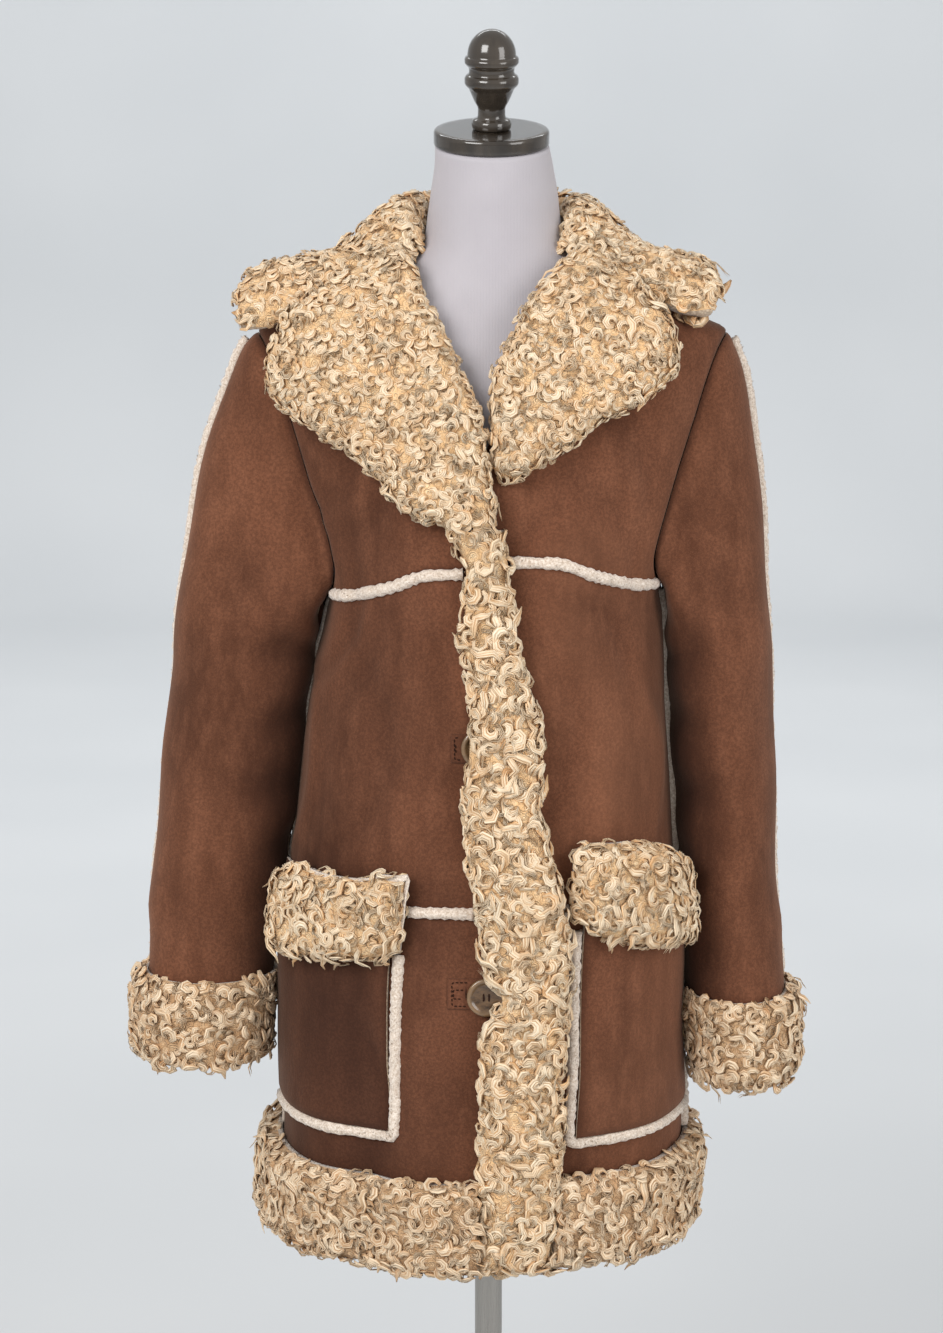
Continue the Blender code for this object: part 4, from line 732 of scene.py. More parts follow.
def suede_shell(name, base, normal, lift, *nodes, rests_on="form_cover", fold=0.0):
    """Suede panel as a shell whose edges dip into the seams, its cut sizes kept in cuts.
    Seam gives painted shade along the edges, where they dip; the painted shading runs from -1, painted shade in
    hollows, to 1, a painted highlight on ridges."""
    away = seam_distance(base)
    item = shell(name, base, normal, lift - WALL, lift - SEAM_DIP * bell(away / DIP_WIDTH), [suede, short_wool],
                 seam=bell(away / SEAM_SHADE), fold=np.broadcast_to(fold, away.shape))
    settle(item, "suede", *nodes)
    cuts[name] = cut_sheet(base)


def nap_fold(angle, z):
    """Painted shading on the body surface: painted shade in the hollows of folds, at the sides, on the wearer's
    right and on the skirt, and a painted highlight on the ridges of folds and on the wearer's left.
    """
    across = np.clip(np.cos(angle), -0.8, 0.5)
    one_side_shade = 0.42 * across * ease((1.24 - z) / 0.1) + (0.34 * across - 0.22) * ease((0.92 - z) / 0.05)
    folded = np.clip(drape(angle, z) / FULL_FOLD, -0.30, 0.6 - 0.4 * ease((0.92 - z) / 0.05))
    return folded - 0.9 * bell(from_side(np.degrees(angle)) / 8) + one_side_shade


def laid(places, side=LEFT):
    """Points, normals and lift of places on the body; the right front lies on its lap."""
    angle, z = places[..., 0], places[..., 1]
    return body(angle, z), outward(angle, z), lap(angle, z) if side == RIGHT else 0.0


def panel(node, places, side=LEFT):
    """Suede panel on the body surface."""
    suede_shell("suede_" + node, *laid(places, side), node, fold=nap_fold(places[..., 0], places[..., 1]))


for side in (RIGHT, LEFT):
    edge_z, edge_x = EDGE[side]

    def edge_angle(z, edge_z=edge_z, edge_x=edge_x):
        return front_angle(through(z, edge_z, edge_x), z)

    side_angle = float(turned(side, SIDE_TURN))
    chest = front_seam(side, edge_x[-1], chest_z)
    hip, hem = (front_seam(side, float(through(z, edge_z, edge_x)), level(z)) for z in (HIP_Z, HEM_Z))
    top_z = float(chest_z(side, -PI / 2))
    side_z = float(chest_z(side, SIDE_TURN))
    across = seam_shares(34, 0.19)
    shoulder_angle = float(turned(side, 0.0))
    shoulder = between((shoulder_angle, NECK_Z), (shoulder_angle, TIP_Z))
    yoke = patch(chest, shoulder, roll_line(side), armhole(side, False), across, seam_shares(40, 0.24))
    panel("yoke_front_" + WORD[side], yoke, side)
    middle = patch(hip, chest, upright(HIP_Z, top_z, edge_angle), upright(HIP_Z, side_z, lambda z, a=side_angle: a),
                   across, seam_shares(40, 0.26))
    panel("body_front_" + WORD[side], middle, side)
    skirt = patch(hem, hip, upright(HEM_Z, HIP_Z, edge_angle), upright(HEM_Z, HIP_Z, lambda z, a=side_angle: a),
                  across, seam_shares(44, 0.30))
    panel("skirt_front_" + WORD[side], skirt, side)


def back_head(t):
    """Upper edge of the back yoke: right shoulder seam, neckline, left shoulder seam."""
    angle = PI * (1 - np.clip((t - SHOULDER_SHARE) / (1 - 2 * SHOULDER_SHARE), 0, 1))
    out = np.maximum(SHOULDER_SHARE - t, t - (1 - SHOULDER_SHARE)) / SHOULDER_SHARE
    return np.stack([angle, NECK_Z + (TIP_Z - NECK_Z) * np.clip(out, 0, 1)], -1)


back_right = float(turned(RIGHT, SIDE_TURN, behind=True))
back_chest, back_hip, back_hem = (back_seam(height) for height in (back_chest_z, level(HIP_Z), level(HEM_Z)))
across = seam_shares(48, 0.42)
panel("yoke_back", patch(back_chest, back_head, armhole(RIGHT, True), armhole(LEFT, True), across,
                         seam_shares(40, 0.24)))
for name, foot, head, low, high in (
        ("body_back", back_hip, back_chest, (HIP_Z, HIP_Z), (float(back_chest_z(0.0)), float(back_chest_z(1.0)))),
        ("skirt_back", back_hem, back_hip, (HEM_Z, HEM_Z), (HIP_Z, HIP_Z))):
    near = upright(low[0], high[0], lambda z: back_right)
    far = upright(low[1], high[1], lambda z: float(SIDE_TURN))
    panel(name, patch(foot, head, near, far, across, seam_shares(44, 0.28)))


# ---------------------------------------------------------------- sleeves
# Two-piece sleeves of the same suede, set into the armholes, hanging a little forward,
# with their long outer seam behind the arm.
SLEEVE_Z = {RIGHT: [1.055, 1.010, 0.965, 0.920, 0.840, 0.780, 0.719],
            LEFT: [1.055, 1.010, 0.965, 0.920, 0.840, 0.780, 0.702]}
SLEEVE_X = {RIGHT: [-0.2110, -0.2180, -0.2260, -0.2330, -0.2410, -0.2440, -0.2460],
            LEFT: [0.1975, 0.2025, 0.2065, 0.2085, 0.2120, 0.2185, 0.2195]}
SLEEVE_Y = [0.000, 0.000, -0.002, -0.004, -0.010, -0.016, -0.022]
SLEEVE_WIDE = {RIGHT: [0.0585, 0.0565, 0.0545, 0.0525, 0.0500, 0.0495, 0.0495],
               LEFT: [0.0430, 0.0405, 0.0390, 0.0380, 0.0370, 0.0360, 0.0360]}
SLEEVE_DEEP = {RIGHT: [0.062, 0.061, 0.060, 0.058, 0.055, 0.052, 0.050],
               LEFT: [0.070, 0.069, 0.067, 0.065, 0.062, 0.060, 0.058]}
CAP_REACH = {RIGHT: 0.085, LEFT: 0.060}
UNDERARM_REACH = 0.030
TIP_STEEP = 0.35
UNDERARM_STEEP = 1.4
SLEEVE_INNER = {RIGHT: [0.0052, 0.0082, 0.0118, 0.0158, 0.0140, 0.0080, 0.0040],
                LEFT: [0.0060, 0.0102, 0.0122, 0.0118, 0.0136, 0.0142, 0.0050]}
INNER_AHEAD = 0.06
INNER_SPAN = 0.30
OUTSEAM = np.radians(20.0)
CUFF_Z = {RIGHT: (0.716, 0.789), LEFT: (0.699, 0.774)}
INNER_SHADE = {RIGHT: 1.1, LEFT: 1.4}     # strength of the painted shade on the inner side, towards the body
SLEEVE_CREASE_DEPTH = 2.2
SLEEVE_FULL_FOLD = 0.0220
TO_BODY = 0.0060             # fullness of the inner side
TUCK = 0.0004                # how far the sleeve starts inside the armhole
SLEEVE_CREASES = np.array([     # turn, down, half turn, half down, lean, depth
    (0.18, 1.12, 0.16, 0.050, 0.10, -0.0022), (0.22, 1.30, 0.20, 0.045, -0.06, -0.0020),
    (0.12, 1.46, 0.18, 0.040, 0.08, -0.0018), (0.55, 0.62, 0.10, 0.20, 0.30, -0.0022),
    (0.30, 0.80, 0.10, 0.16, 0.25, -0.0025), (1.50, 0.70, 0.12, 0.18, -0.30, -0.0022),
    (1.75, 1.10, 0.18, 0.050, -0.10, -0.0022), (1.70, 1.34, 0.20, 0.045, 0.08, -0.0020),
    (1.30, 1.20, 0.16, 0.050, 0.12, 0.0014), (0.70, 1.22, 0.12, 0.16, 0.20, -0.0012),
    (0.78, 1.62, 0.12, 0.060, 0.10, 0.0012), (1.45, 1.62, 0.16, 0.050, -0.08, -0.0014)])


def sleeve_ring(side, turn, z):
    """Point of the sleeve's tube; turn 0..1 runs from the underarm over the front to the
    outer seam, 1..2 from there over the back to the underarm again."""
    turn = np.mod(turn, 2.0)
    angle = np.where(turn <= 1, PI + (PI + OUTSEAM) * turn, 2 * PI + OUTSEAM + (PI - OUTSEAM) * (turn - 1))
    middle_x, middle_y, wide, deep, inner = (
        through(z, SLEEVE_Z[side][::-1], table[::-1])
        for table in (SLEEVE_X[side], SLEEVE_Y, SLEEVE_WIDE[side], SLEEVE_DEEP[side], SLEEVE_INNER[side]))
    near_body = bell((np.mod(turn + 1, 2) - 1 - INNER_AHEAD) / INNER_SPAN)
    x = middle_x + side * wide * np.cos(angle) - side * inner * near_body
    return np.stack(np.broadcast_arrays(x, middle_y + deep * np.sin(angle), z), -1)


def sleeve(side, turn, down):
    """Point of the sleeve: down 0..1 bends from the armhole into the tube, 1..2 runs
    down the tube."""
    turn, down = np.broadcast_arrays(np.asarray(turn, float), np.asarray(down, float))
    wrapped = np.mod(turn, 2.0)
    front = armhole(side, False)(np.clip(wrapped, 0, 1))
    back = armhole(side, True)(np.clip(2 - wrapped, 0, 1))
    place = np.where((wrapped <= 1)[..., None], front, back)
    start = body(place[..., 0], place[..., 1])
    top = SLEEVE_Z[side][0]
    drop = start[..., 2:] - top
    steep = -TIP_STEEP - UNDERARM_STEEP * (1 - drop / (TIP_Z - top)) ** 2
    leave = np.concatenate([np.full(steep.shape, float(side)), np.zeros(steep.shape), steep], -1)
    leave = unit(leave + 0.25 * outward(place[..., 0], place[..., 1]))
    reach = UNDERARM_REACH + (CAP_REACH[side] - UNDERARM_REACH) * drop / (TIP_Z - top)
    start = start - leave * TUCK
    stop = sleeve_ring(side, turn, np.full(turn.shape, top))
    fall = np.array([0.0, 0.0, -1.0]) * drop * 1.05
    t = np.clip(down, 0, 1)[..., None]
    cap = ((1 + 2 * t) * (1 - t) ** 2 * start + t * (1 - t) ** 2 * leave * reach
           + t * t * (3 - 2 * t) * stop - t * t * (1 - t) * fall)
    z = top + (SLEEVE_Z[side][-1] - top) * np.clip(down - 1, 0, 1)
    return np.where((down <= 1)[..., None], cap, sleeve_ring(side, turn, z))


def sleeve_normal(side, turn, down):
    """Unit normal of the sleeve, away from the arm."""
    step = 1e-3
    around_it = sleeve(side, turn + step, down) - sleeve(side, turn - step, down)
    middle = np.clip(down, step, 2 - step)
    lengthwise = sleeve(side, turn, middle + step) - sleeve(side, turn, middle - step)
    return unit(np.cross(around_it, lengthwise) * -side)


def sleeve_crease(side, turn, down):
    """Push outwards of the sleeve: leaning dents that fade at the cuff, fullness towards
    the body and a slow unevenness."""
    push = np.zeros(np.broadcast(turn, down).shape)
    for at, height, wide, tall, tilt, depth in SLEEVE_CREASES:
        off = (turn - at + 1.0) % 2.0 - 1.0
        up = down - height - tilt * off * (1 if side == LEFT else 0.8)
        push = push + SLEEVE_CREASE_DEPTH * depth * np.exp(-(off / wide) ** 2 - (up / tall) ** 2)
    to_body = bell((np.mod(turn, 2) - 1.90) / 0.10)
    push = push + TO_BODY * to_body * ease((down - 0.25) / 0.25) * ease((1.30 - down) / 0.20)
    slow = np.sin(9 * turn + 11 * down) + np.sin(5 * turn - 17 * down + side)
    return (push + UNEVEN * slow) * ease(down / 0.15) * ease((1.76 - down) / 0.15)


def down_at(side, z):
    """The sleeve's second coordinate at a height of its tube."""
    return 1 + (z - SLEEVE_Z[side][0]) / (SLEEVE_Z[side][-1] - SLEEVE_Z[side][0])


def clothed_sleeve(side, turn, down):
    """Points and normals of the creased sleeve."""
    normal = sleeve_normal(side, turn, down)
    return sleeve(side, turn, down) + normal * sleeve_crease(side, turn, down)[..., None], normal


for side in (RIGHT, LEFT):
    downs = 2 * seam_shares(68, 0.62)
    for part, turns in (("front", seam_shares(26, 0.19)), ("back", 1 + seam_shares(26, 0.19))):
        turn, down = np.meshgrid(turns, downs)
        node = "sleeve_%s_%s" % (WORD[side], part)
        # painted shade on the inner side, where the sleeve hangs by the body, and painted shade and highlight along
        # the creases
        inner_shade = INNER_SHADE[side] * bell((np.mod(turn + 1, 2) - 1 - 0.02) / 0.26)
        folded = np.clip(sleeve_crease(side, turn, down) / SLEEVE_FULL_FOLD, -0.25, 0.5)
        suede_shell("suede_" + node, *clothed_sleeve(side, turn, down), 0.0, node,
                    rests_on="suede_yoke_front_" + WORD[side], fold=folded - inner_shade * ease((down - 0.5) / 0.5))


# ---------------------------------------------------------------- curly wool
# Long lambskin wool, worn outwards: a dense under-wool and on it thousands of locks,
# tight rings on collar and lapels, looser waves on the edges that hang.
COARSER_BEHIND = 1.35      # locks at the back are fewer and wider
BEHIND_Y = 0.02
STRAND_PITCH = 1.58        # loose strands against locks: wider apart, thin and twice as tall
STRAND_HALF = 0.00056
STRAND_RISE = 2.2
STRANDS_APART = 0.0011
FINE = np.array([(-1.0, 0.0), (-0.66, 0.46), (-0.33, 0.20), (0.02, 0.62), (0.36, 0.22), (0.68, 0.46), (1.0, 0.0)])
HAIR = np.array([(-1.2, -0.5), (0.0, 0.95), (1.2, -0.5)])
FUR = 0.024                # depth of the wool at the front
REST = 0.0009              # room between a piece and what it lies on
SEAT_SHIFT = 0.42          # of a cell, either way


def seats_on(grid, normal, spacing, seed):
    """Seats for locks on a grid of points: even cells with a random place in each, fewer
    where the grid is narrow.  Returns seats, normals and the downward run there."""
    rng = np.random.default_rng(seed)
    count_u, count_v = (max(2, int(run_from(runs)[1].max() / spacing)) for runs in (grid, grid.swapaxes(0, 1)))
    u, v = np.meshgrid(np.arange(count_u), np.arange(count_v))
    u = (u + 0.5 + rng.uniform(-SEAT_SHIFT, SEAT_SHIFT, u.shape)).ravel() / count_u
    v = (v + 0.5 + rng.uniform(-SEAT_SHIFT, SEAT_SHIFT, v.shape)).ravel() / count_v
    rows, columns = grid.shape[:2]
    i = np.clip((v * (rows - 1)).astype(int), 0, rows - 2)
    j = np.clip((u * (columns - 1)).astype(int), 0, columns - 2)
    fu = (u * (columns - 1) - j)[:, None]
    fv = (v * (rows - 1) - i)[:, None]

    def at(field):
        return ((1 - fv) * ((1 - fu) * field[i, j] + fu * field[i, j + 1])
                + fv * ((1 - fu) * field[i + 1, j] + fu * field[i + 1, j + 1]))

    side_u = grid[i, j + 1] - grid[i, j]
    side_v = grid[i + 1, j] - grid[i, j]
    room_here = np.linalg.norm(np.cross(side_u, side_v), axis=1) * (rows - 1) * (columns - 1)
    keep = rng.uniform(0, 1, len(u)) < room_here / (spacing ** 2 * count_u * count_v)
    return at(grid)[keep], unit(at(normal))[keep], unit(side_v)[keep], rng


def slow_wave(seat, reach, phase):
    """Value -1..1 that drifts over the wool, from high to high in about that reach."""
    turn = 2 * PI / reach
    warp = np.sin(turn * 0.7 * (seat @ np.array([0.5, 0.4, -0.8])) + phase)
    return np.sin(turn * (seat @ np.array([0.8, 0.3, 0.6])) + 1.8 * warp + phase)


def lock_paths(seat, up, down, rng, ring, length, tight, rise, wide):
    """Paths and half widths of locks.  A tight lock winds part of a leaning circle that
    shrinks to its tip; a loose one runs down in a wave that swings sideways and in and out.
    Neighbours start and lean alike, so that their hairs run side by side in clumps."""
    count = len(seat)
    t = np.linspace(0, 1, 7)[None, :]

    def draw(low, high):
        return rng.uniform(low, high, (count, 1))

    seat = seat + up * (0.0014 * slow_wave(seat, 0.030, 1.0))[:, None]
    comb = 0.7 * slow_wave(seat, 0.075, 2.0)[:, None] + draw(-0.45, 0.45)
    sideways = unit(np.cross(up, down))
    flow = down[:, None] * np.cos(comb)[..., None] + sideways[:, None] * np.sin(comb)[..., None]
    out = np.broadcast_to(up[:, None], flow.shape)
    cross = np.cross(out, flow)

    spin = (2.6 * slow_wave(seat, 0.055, 0.0) + 1.6 * slow_wave(seat, 0.034, 4.0))[:, None] + draw(-0.6, 0.6)
    hand = np.where(slow_wave(seat, 0.060, 5.0)[:, None] + draw(-0.7, 0.7) > 0, 1.0, -1.0)
    theta = spin + hand * 2 * PI * draw(0.55, 0.98) * t
    radius = ring * draw(0.80, 1.3) * (1 - 0.42 * t)
    tilt = draw(-0.40, 0.40)
    first = flow * np.cos(tilt)[..., None] + out * np.sin(tilt)[..., None]
    lift = rise * draw(0.30, 1.20) * (1.35 * np.sin(np.minimum(1, t / 0.40) * PI / 2) - 0.45
                                      - 0.65 * ease((t - 0.55) / 0.45))
    curl = (first * (radius * np.cos(theta))[..., None] + cross * (radius * np.sin(theta))[..., None]
            + out * lift[..., None])

    swing = 2 * PI * draw(0.65, 1.10) * (t + 0.35 * t * t) + spin
    size = ring * draw(0.55, 1.0) * (0.35 + 0.65 * np.sin(PI * np.minimum(1, t * 1.1 + 0.1)))
    far = length * draw(0.75, 1.25) * (t - 0.25)
    wave = (flow * far[..., None] + cross * (size * np.sin(swing))[..., None]
            + out * (lift + 0.45 * size * np.cos(swing + 0.6))[..., None])
    is_tight = (rng.uniform(0, 1, (count, 1)) < tight)[..., None]
    path = seat[:, None] + np.where(is_tight, curl, wave)
    fat = wide * draw(0.60, 1.15) * (0.50 + 0.50 * ease(t / 0.30)) * (1 - 0.85 * ease((t - 0.55) / 0.45) ** 1.5)
    up = up + 0.3 * draw(-1, 1) * sideways + 0.3 * draw(-1, 1) * down
    return path, fat, up, rng.uniform(0, 1, count), seat, rise


def strands(group, rng, apart):
    """Three thin hairs side by side in place of each lock, drawing together to its tip."""
    path, fat, up, tone, seat, rise = group
    beside = unit(np.cross(np.gradient(path, axis=1), up[:, None] + 1e-3))
    t = np.linspace(0, 1, path.shape[1])[None, :, None]

    def draw(low, high, width=1):
        return rng.uniform(low, high, (len(path), 1, width))

    paths = []
    for place in (-1.0, 0.0, 1.0):
        stray = draw(-1, 1, 3)
        sway = np.sin(2 * PI * (draw(0.4, 1.0) * t + draw(0, 1)))
        paths.append(path + beside * (place * apart * (1.1 - 0.5 * t) + 0.4 * apart * sway)
                     + stray * 0.8 * apart * t ** 2)
    tones = np.clip(np.concatenate([tone] * 3) + rng.uniform(-0.3, 0.3, 3 * len(tone)), 0, 1)
    fat, up, seat = (np.concatenate([values] * 3) for values in (fat, up, seat))
    return np.concatenate(paths), fat, up, tones, seat, rise


def add_locks(name, groups, material, slot, section=FINE, twist=0.3):
    """One mesh of closed tubes along all the paths, flat below and ridged above, turning a
    little about themselves.  Tone is a value for each lock; tip runs 0..1 along it, across
    0..1 over it, tall 0..1 from its foot to its highest reach; ridge is 1 on its ridges."""
    path, fat, up, tone, seat = (np.concatenate([group[i] for group in groups]) for i in range(5))
    rise = groups[0][5]
    count, steps = fat.shape
    along = unit(np.gradient(path, axis=1))
    beside = unit(np.cross(along, up[:, None] + 1e-3))
    above = np.cross(beside, along)
    roll = (twist * np.sin(40 * tone)[:, None] * np.linspace(-1, 1, steps))[..., None]
    beside, above = beside * np.cos(roll) + above * np.sin(roll), above * np.cos(roll) - beside * np.sin(roll)
    rim = beside[:, :, None] * section[:, :1] + above[:, :, None] * section[:, 1:]
    points = path[:, :, None] + rim * fat[:, :, None, None]
    corners = len(section)
    index = np.arange(count * steps * corners).reshape(count, steps, corners)
    ahead = np.roll(index, -1, axis=2)
    sides = np.stack([index[:, :-1], ahead[:, :-1], ahead[:, 1:], index[:, 1:]], -1).reshape(-1, 4)
    fan = np.stack([np.zeros(corners - 2, int), np.arange(1, corners - 1), np.arange(2, corners)], -1)
    tips = np.concatenate([index[:, 0][:, fan[:, ::-1]].reshape(-1, 3), index[:, -1][:, fan].reshape(-1, 3)])
    tall = np.einsum("ijkl,il->ijk", points - seat[:, None, None], up) / (1.25 * rise)
    side_low = np.minimum(np.roll(section[:, 1], 1), np.roll(section[:, 1], -1))
    values = {"ridge": np.clip((section[:, 1] - side_low) / 0.10, 0, 1), "tone": tone[:, None, None],
              "tip": np.linspace(0, 1, steps)[None, :, None], "across": 0.5 + 0.5 * section[:, 0],
              "tall": np.clip(tall, 0, 1)}
    item = add_piece(name, points.reshape(-1, 3), sides, materials=[material], ends_of=tips,
                     **{key: np.broadcast_to(value, index.shape) for key, value in values.items()})
    settle(item, slot)


def wool_material(name, root, middle, pale):
    """Wool lock: painted shade, golden, towards its foot and in the valleys between its ridges, and a
    painted highlight, paler, towards its top; each lock a tone of its own, with fine hairs along it as colour and
    bump."""
    made, tree, shader = new_material(name, 0.42, Sheen_Weight=0.12, Sheen_Roughness=0.35,
                                      Sheen_Tint=(1.0, 0.85, 0.65, 1.0), Specular_IOR_Level=0.45)
    tip, tone, across, tall, ridge = read_values(tree, "tip", "tone", "across", "tall", "ridge")
    where = add_node(tree, "CombineXYZ", {"X": across, "Y": tip, "Z": tone}).outputs[0]
    hairs = noise(tree, 1.0, 2.0, (6.0, 1.2, 90.0), where)
    # painted shade towards each lock's foot and in the valleys between its ridges, painted highlight towards its
    # top; the tone, noise and hair layers are the wool's own colour
    paint(tree, shader, root,
          (tall, 0.0, 0.50, 0.0, 1.0, middle),
          (tall, 0.35, 0.90, 0.0, 0.65, pale),
          (tone, 0.35, 1.0, 0.0, 0.55, pale),
          (noise(tree, 38.0), 0.36, 0.58, 0.30, 0.0, root),
          (ridge, 0.0, 0.8, 0.80, 0.0, (0.74, 0.62, 0.50), "MULTIPLY"),
          (hairs, 0.38, 0.50, 0.85, 0.0, (0.70, 0.57, 0.44), "MULTIPLY"),
          (hairs, 0.52, 0.64, 0.0, 0.60, pale))
    bump(tree, shader, hairs, 0.0016, 1.0)
    return made


def under_wool_material(name, dark, light):
    """Dense wool below the locks: small swirls of hairs in shade."""
    made, tree, shader = new_material(name, 0.9, Sheen_Weight=0.1)
    where = object_place(tree)
    away = add_node(tree, "TexVoronoi", {"Vector": where, "Scale": 150.0}).outputs["Distance"]
    bent = add_node(tree, "TexNoise", {"Vector": where, "Scale": 190.0, "Detail": 2.0,
                                       "Distortion": 1.5}).outputs["Fac"]
    turns = add_node(tree, "Math", {0: away, 1: 26.0, 2: 0.0}, operation="MULTIPLY_ADD").outputs[0]
    turns = add_node(tree, "Math", {0: bent, 1: 14.0, 2: turns}, operation="MULTIPLY_ADD").outputs[0]
    hairs = add_node(tree, "Math", {0: turns}, operation="SINE").outputs[0]
    paint(tree, shader, light, (away, 0.10, 0.75, 0.0, 1.0, dark), (hairs, -0.7, 0.5, 0.9, 0.0, dark))
    bump(tree, shader, spread(tree, hairs, -1.0, 1.0), 0.0010, 0.8, bump(tree, shader, away, 0.0035, 0.8))
    return made


def wool(word, root, middle, pale, dark, light):
    """Materials of one wool: its locks and the under-wool below them."""
    locks = wool_material(word + "_locks", root, middle, pale)
    return locks, under_wool_material(word + "_under_wool", dark, light)


HONEY = wool("honey", (0.93, 0.60, 0.31), (0.93, 0.665, 0.395), (0.99, 0.86, 0.66), (0.84, 0.53, 0.265),
             (0.99, 0.77, 0.49))
OAT = wool("oat", (0.68, 0.415, 0.215), (0.82, 0.57, 0.335), (0.95, 0.80, 0.60), (0.54, 0.320, 0.160),
           (0.86, 0.62, 0.375))


def puff(base, height, edge, near=True, far=True, foot=True, head=True):
    """Heights of a pad: full in the middle, rounded down to `edge` at the chosen sides."""
    def rounded(grid, first, last):
        run, whole = run_from(grid)
        share = np.ones_like(run)
        for wanted, away in ((first, run), (last, whole - run)):
            if wanted:
                share = share * np.sqrt(1 - (1 - np.clip(away / (0.9 * height), 0, 1)) ** 2)
        return share
    share = rounded(base, near, far) * rounded(base.swapaxes(0, 1), foot, head).T
    return edge + (height - edge) * share


def wool_pad(name, node, base, normal, low, height, finish, seed, spacing=0.0071, ring=0.0044, length=0.020,
             tight=0.92, rise=0.0020, wide=0.0029, edge=0.0045, closed=False, tops=None, clear_of=None, **sides):
    """Under-wool pad in place of a solid, and its locks: seats lie on the pad's top.
    Loose thin hairs stand above them."""
    locks, under = finish
    top = (puff(base, height - rise * 0.8, edge, **sides) if tops is None else tops) + low
    pad = shell(name + "_under_wool", base, normal, low, top, [under, short_wool], ring=closed)
    settle(pad, "long_wool", node)
    grid = base + normal * np.broadcast_to(top, base.shape[:2])[..., None]
    if closed:
        grid, normal = (np.concatenate([field, field[:, :1]], axis=1) for field in (grid, normal))
    facing = unit(np.cross(np.gradient(grid, axis=1), np.gradient(grid, axis=0)))
    facing *= np.sign(np.einsum("ijk,ijk->ij", facing, normal))[..., None]
    for kind, pitch, half, tall in (("_locks", spacing, wide, rise),
                                    ("_strands", STRAND_PITCH * spacing, STRAND_HALF, STRAND_RISE * rise)):
        seat, up, down, rng = seats_on(grid, facing, pitch, seed)
        behind = seat[:, 1] > BEHIND_Y
        kept = ~behind | (rng.uniform(0, 1, len(seat)) < 1 / COARSER_BEHIND ** 2)
        if clear_of is not None:
            kept &= clear_of(seat)
        coarse = np.where(behind[kept], COARSER_BEHIND, 1.0)[:, None]
        group = lock_paths(seat[kept], up[kept], down[kept], rng, ring * coarse, length, tight, tall, half * coarse)
        if kind == "_locks":
            add_locks(name + kind, [group], locks, "long_wool")
        else:
            add_locks(name + kind, [strands(group, rng, STRANDS_APART)], locks, "long_wool", HAIR)


# ---------------------------------------------------------------- lapels
# Wool side of the fronts turned back along the roll, cut with a notch at the collar.
LAPEL_OUTER = {
    RIGHT: ([-0.1510, -0.1670, -0.1730, -0.1690, -0.1505, -0.1129, -0.0889, -0.0728, -0.0486, -0.0350],
            [1.3450, 1.3300, 1.3130, 1.2920, 1.2724, 1.2441, 1.2255, 1.2076, 1.1935, 1.1900]),
    LEFT: ([0.1240, 0.1420, 0.1491, 0.1445, 0.1191, 0.0975, 0.0720, 0.0440, 0.0170],
           [1.3590, 1.3400, 1.3200, 1.3040, 1.2840, 1.2745, 1.2574, 1.2400, 1.2255])}
LAPEL_INNER = {
    RIGHT: ([-0.0620, -0.0575, -0.0520, -0.0425, -0.0330, -0.0240, -0.0155, -0.0070, -0.0035, 0.0060],
            [1.3960, 1.3830, 1.3670, 1.3490, 1.3300, 1.3080, 1.2915, 1.2760, 1.2500, 1.1900]),
    LEFT: ([0.0620, 0.0490, 0.0300, 0.0210, 0.0090, 0.0020, 0.0005, 0.0020, 0.0070],
           [1.3980, 1.3830, 1.3620, 1.3410, 1.3200, 1.3020, 1.2850, 1.2500, 1.2270])}


def on_front(x, z):
    """Places on the front given by x and z."""
    return np.stack([front_angle(x, z), z], -1)


def front_patch(inner, outer, across, along):
    """Grid of places on the front between two lines given as lists of x and z."""
    near, far = (route(front_angle(np.array(x), np.array(z)), np.array(z)) for x, z in (inner, outer))
    near_ends, far_ends = near(np.array([0.0, 1.0])), far(np.array([0.0, 1.0]))
    return patch(between(near_ends[0], far_ends[0]), between(near_ends[1], far_ends[1]), near, far, across, along)


def straight_patch(near_foot, far_foot, near_head, far_head, across, along):
    """Grid of places between four corners."""
    return patch(between(near_foot, far_foot), between(near_head, far_head), between(near_foot, near_head),
                 between(far_foot, far_head), across, along)


for side in (RIGHT, LEFT):
    base, normal, lift = laid(front_patch(LAPEL_INNER[side], LAPEL_OUTER[side], ends(20), ends(30)), side)
    wool_pad("lapel_" + WORD[side], "lapel_" + WORD[side], base, normal, lift + REST, FUR, HONEY, seed=20 + side,
             foot=False, head=side == LEFT)

# ---------------------------------------------------------------- collar
# A wide leaf in one piece with the wool outside, rolled over a low stand.
LEAF_SHARES = (0.0, 0.25, 0.60, 1.0)
LEAF_RIGHT = np.array([
    [(0.0035, 0.0570, 1.4330), (-0.0280, 0.0500, 1.4330), (-0.0490, 0.0300, 1.4330), (-0.0580, 0.0020, 1.4310),
     (-0.0691, -0.0357, 1.4080), (-0.1176, -0.0423, 1.3798), (-0.1661, -0.0521, 1.3514)],
    [(0.0035, 0.0770, 1.4350), (-0.0390, 0.0680, 1.4350), (-0.0650, 0.0430, 1.4350), (-0.0790, 0.0060, 1.4320),
     (-0.0960, -0.0260, 1.4010), (-0.1400, -0.0390, 1.3820), (-0.1740, -0.0540, 1.3460)],
    [(0.0020, 0.0990, 1.4000), (-0.0550, 0.0920, 1.3970), (-0.0960, 0.0680, 1.3920), (-0.1180, 0.0300, 1.3890),
     (-0.1550, -0.0130, 1.3870), (-0.1780, -0.0350, 1.3780), (-0.1880, -0.0570, 1.3420)],
    [(0.0000, 0.1100, 1.3580), (-0.0700, 0.1070, 1.3570), (-0.1300, 0.0870, 1.3610), (-0.1730, 0.0480, 1.3720),
     (-0.2000, 0.0040, 1.3770), (-0.2070, -0.0320, 1.3620), (-0.2030, -0.0600, 1.3440)]])
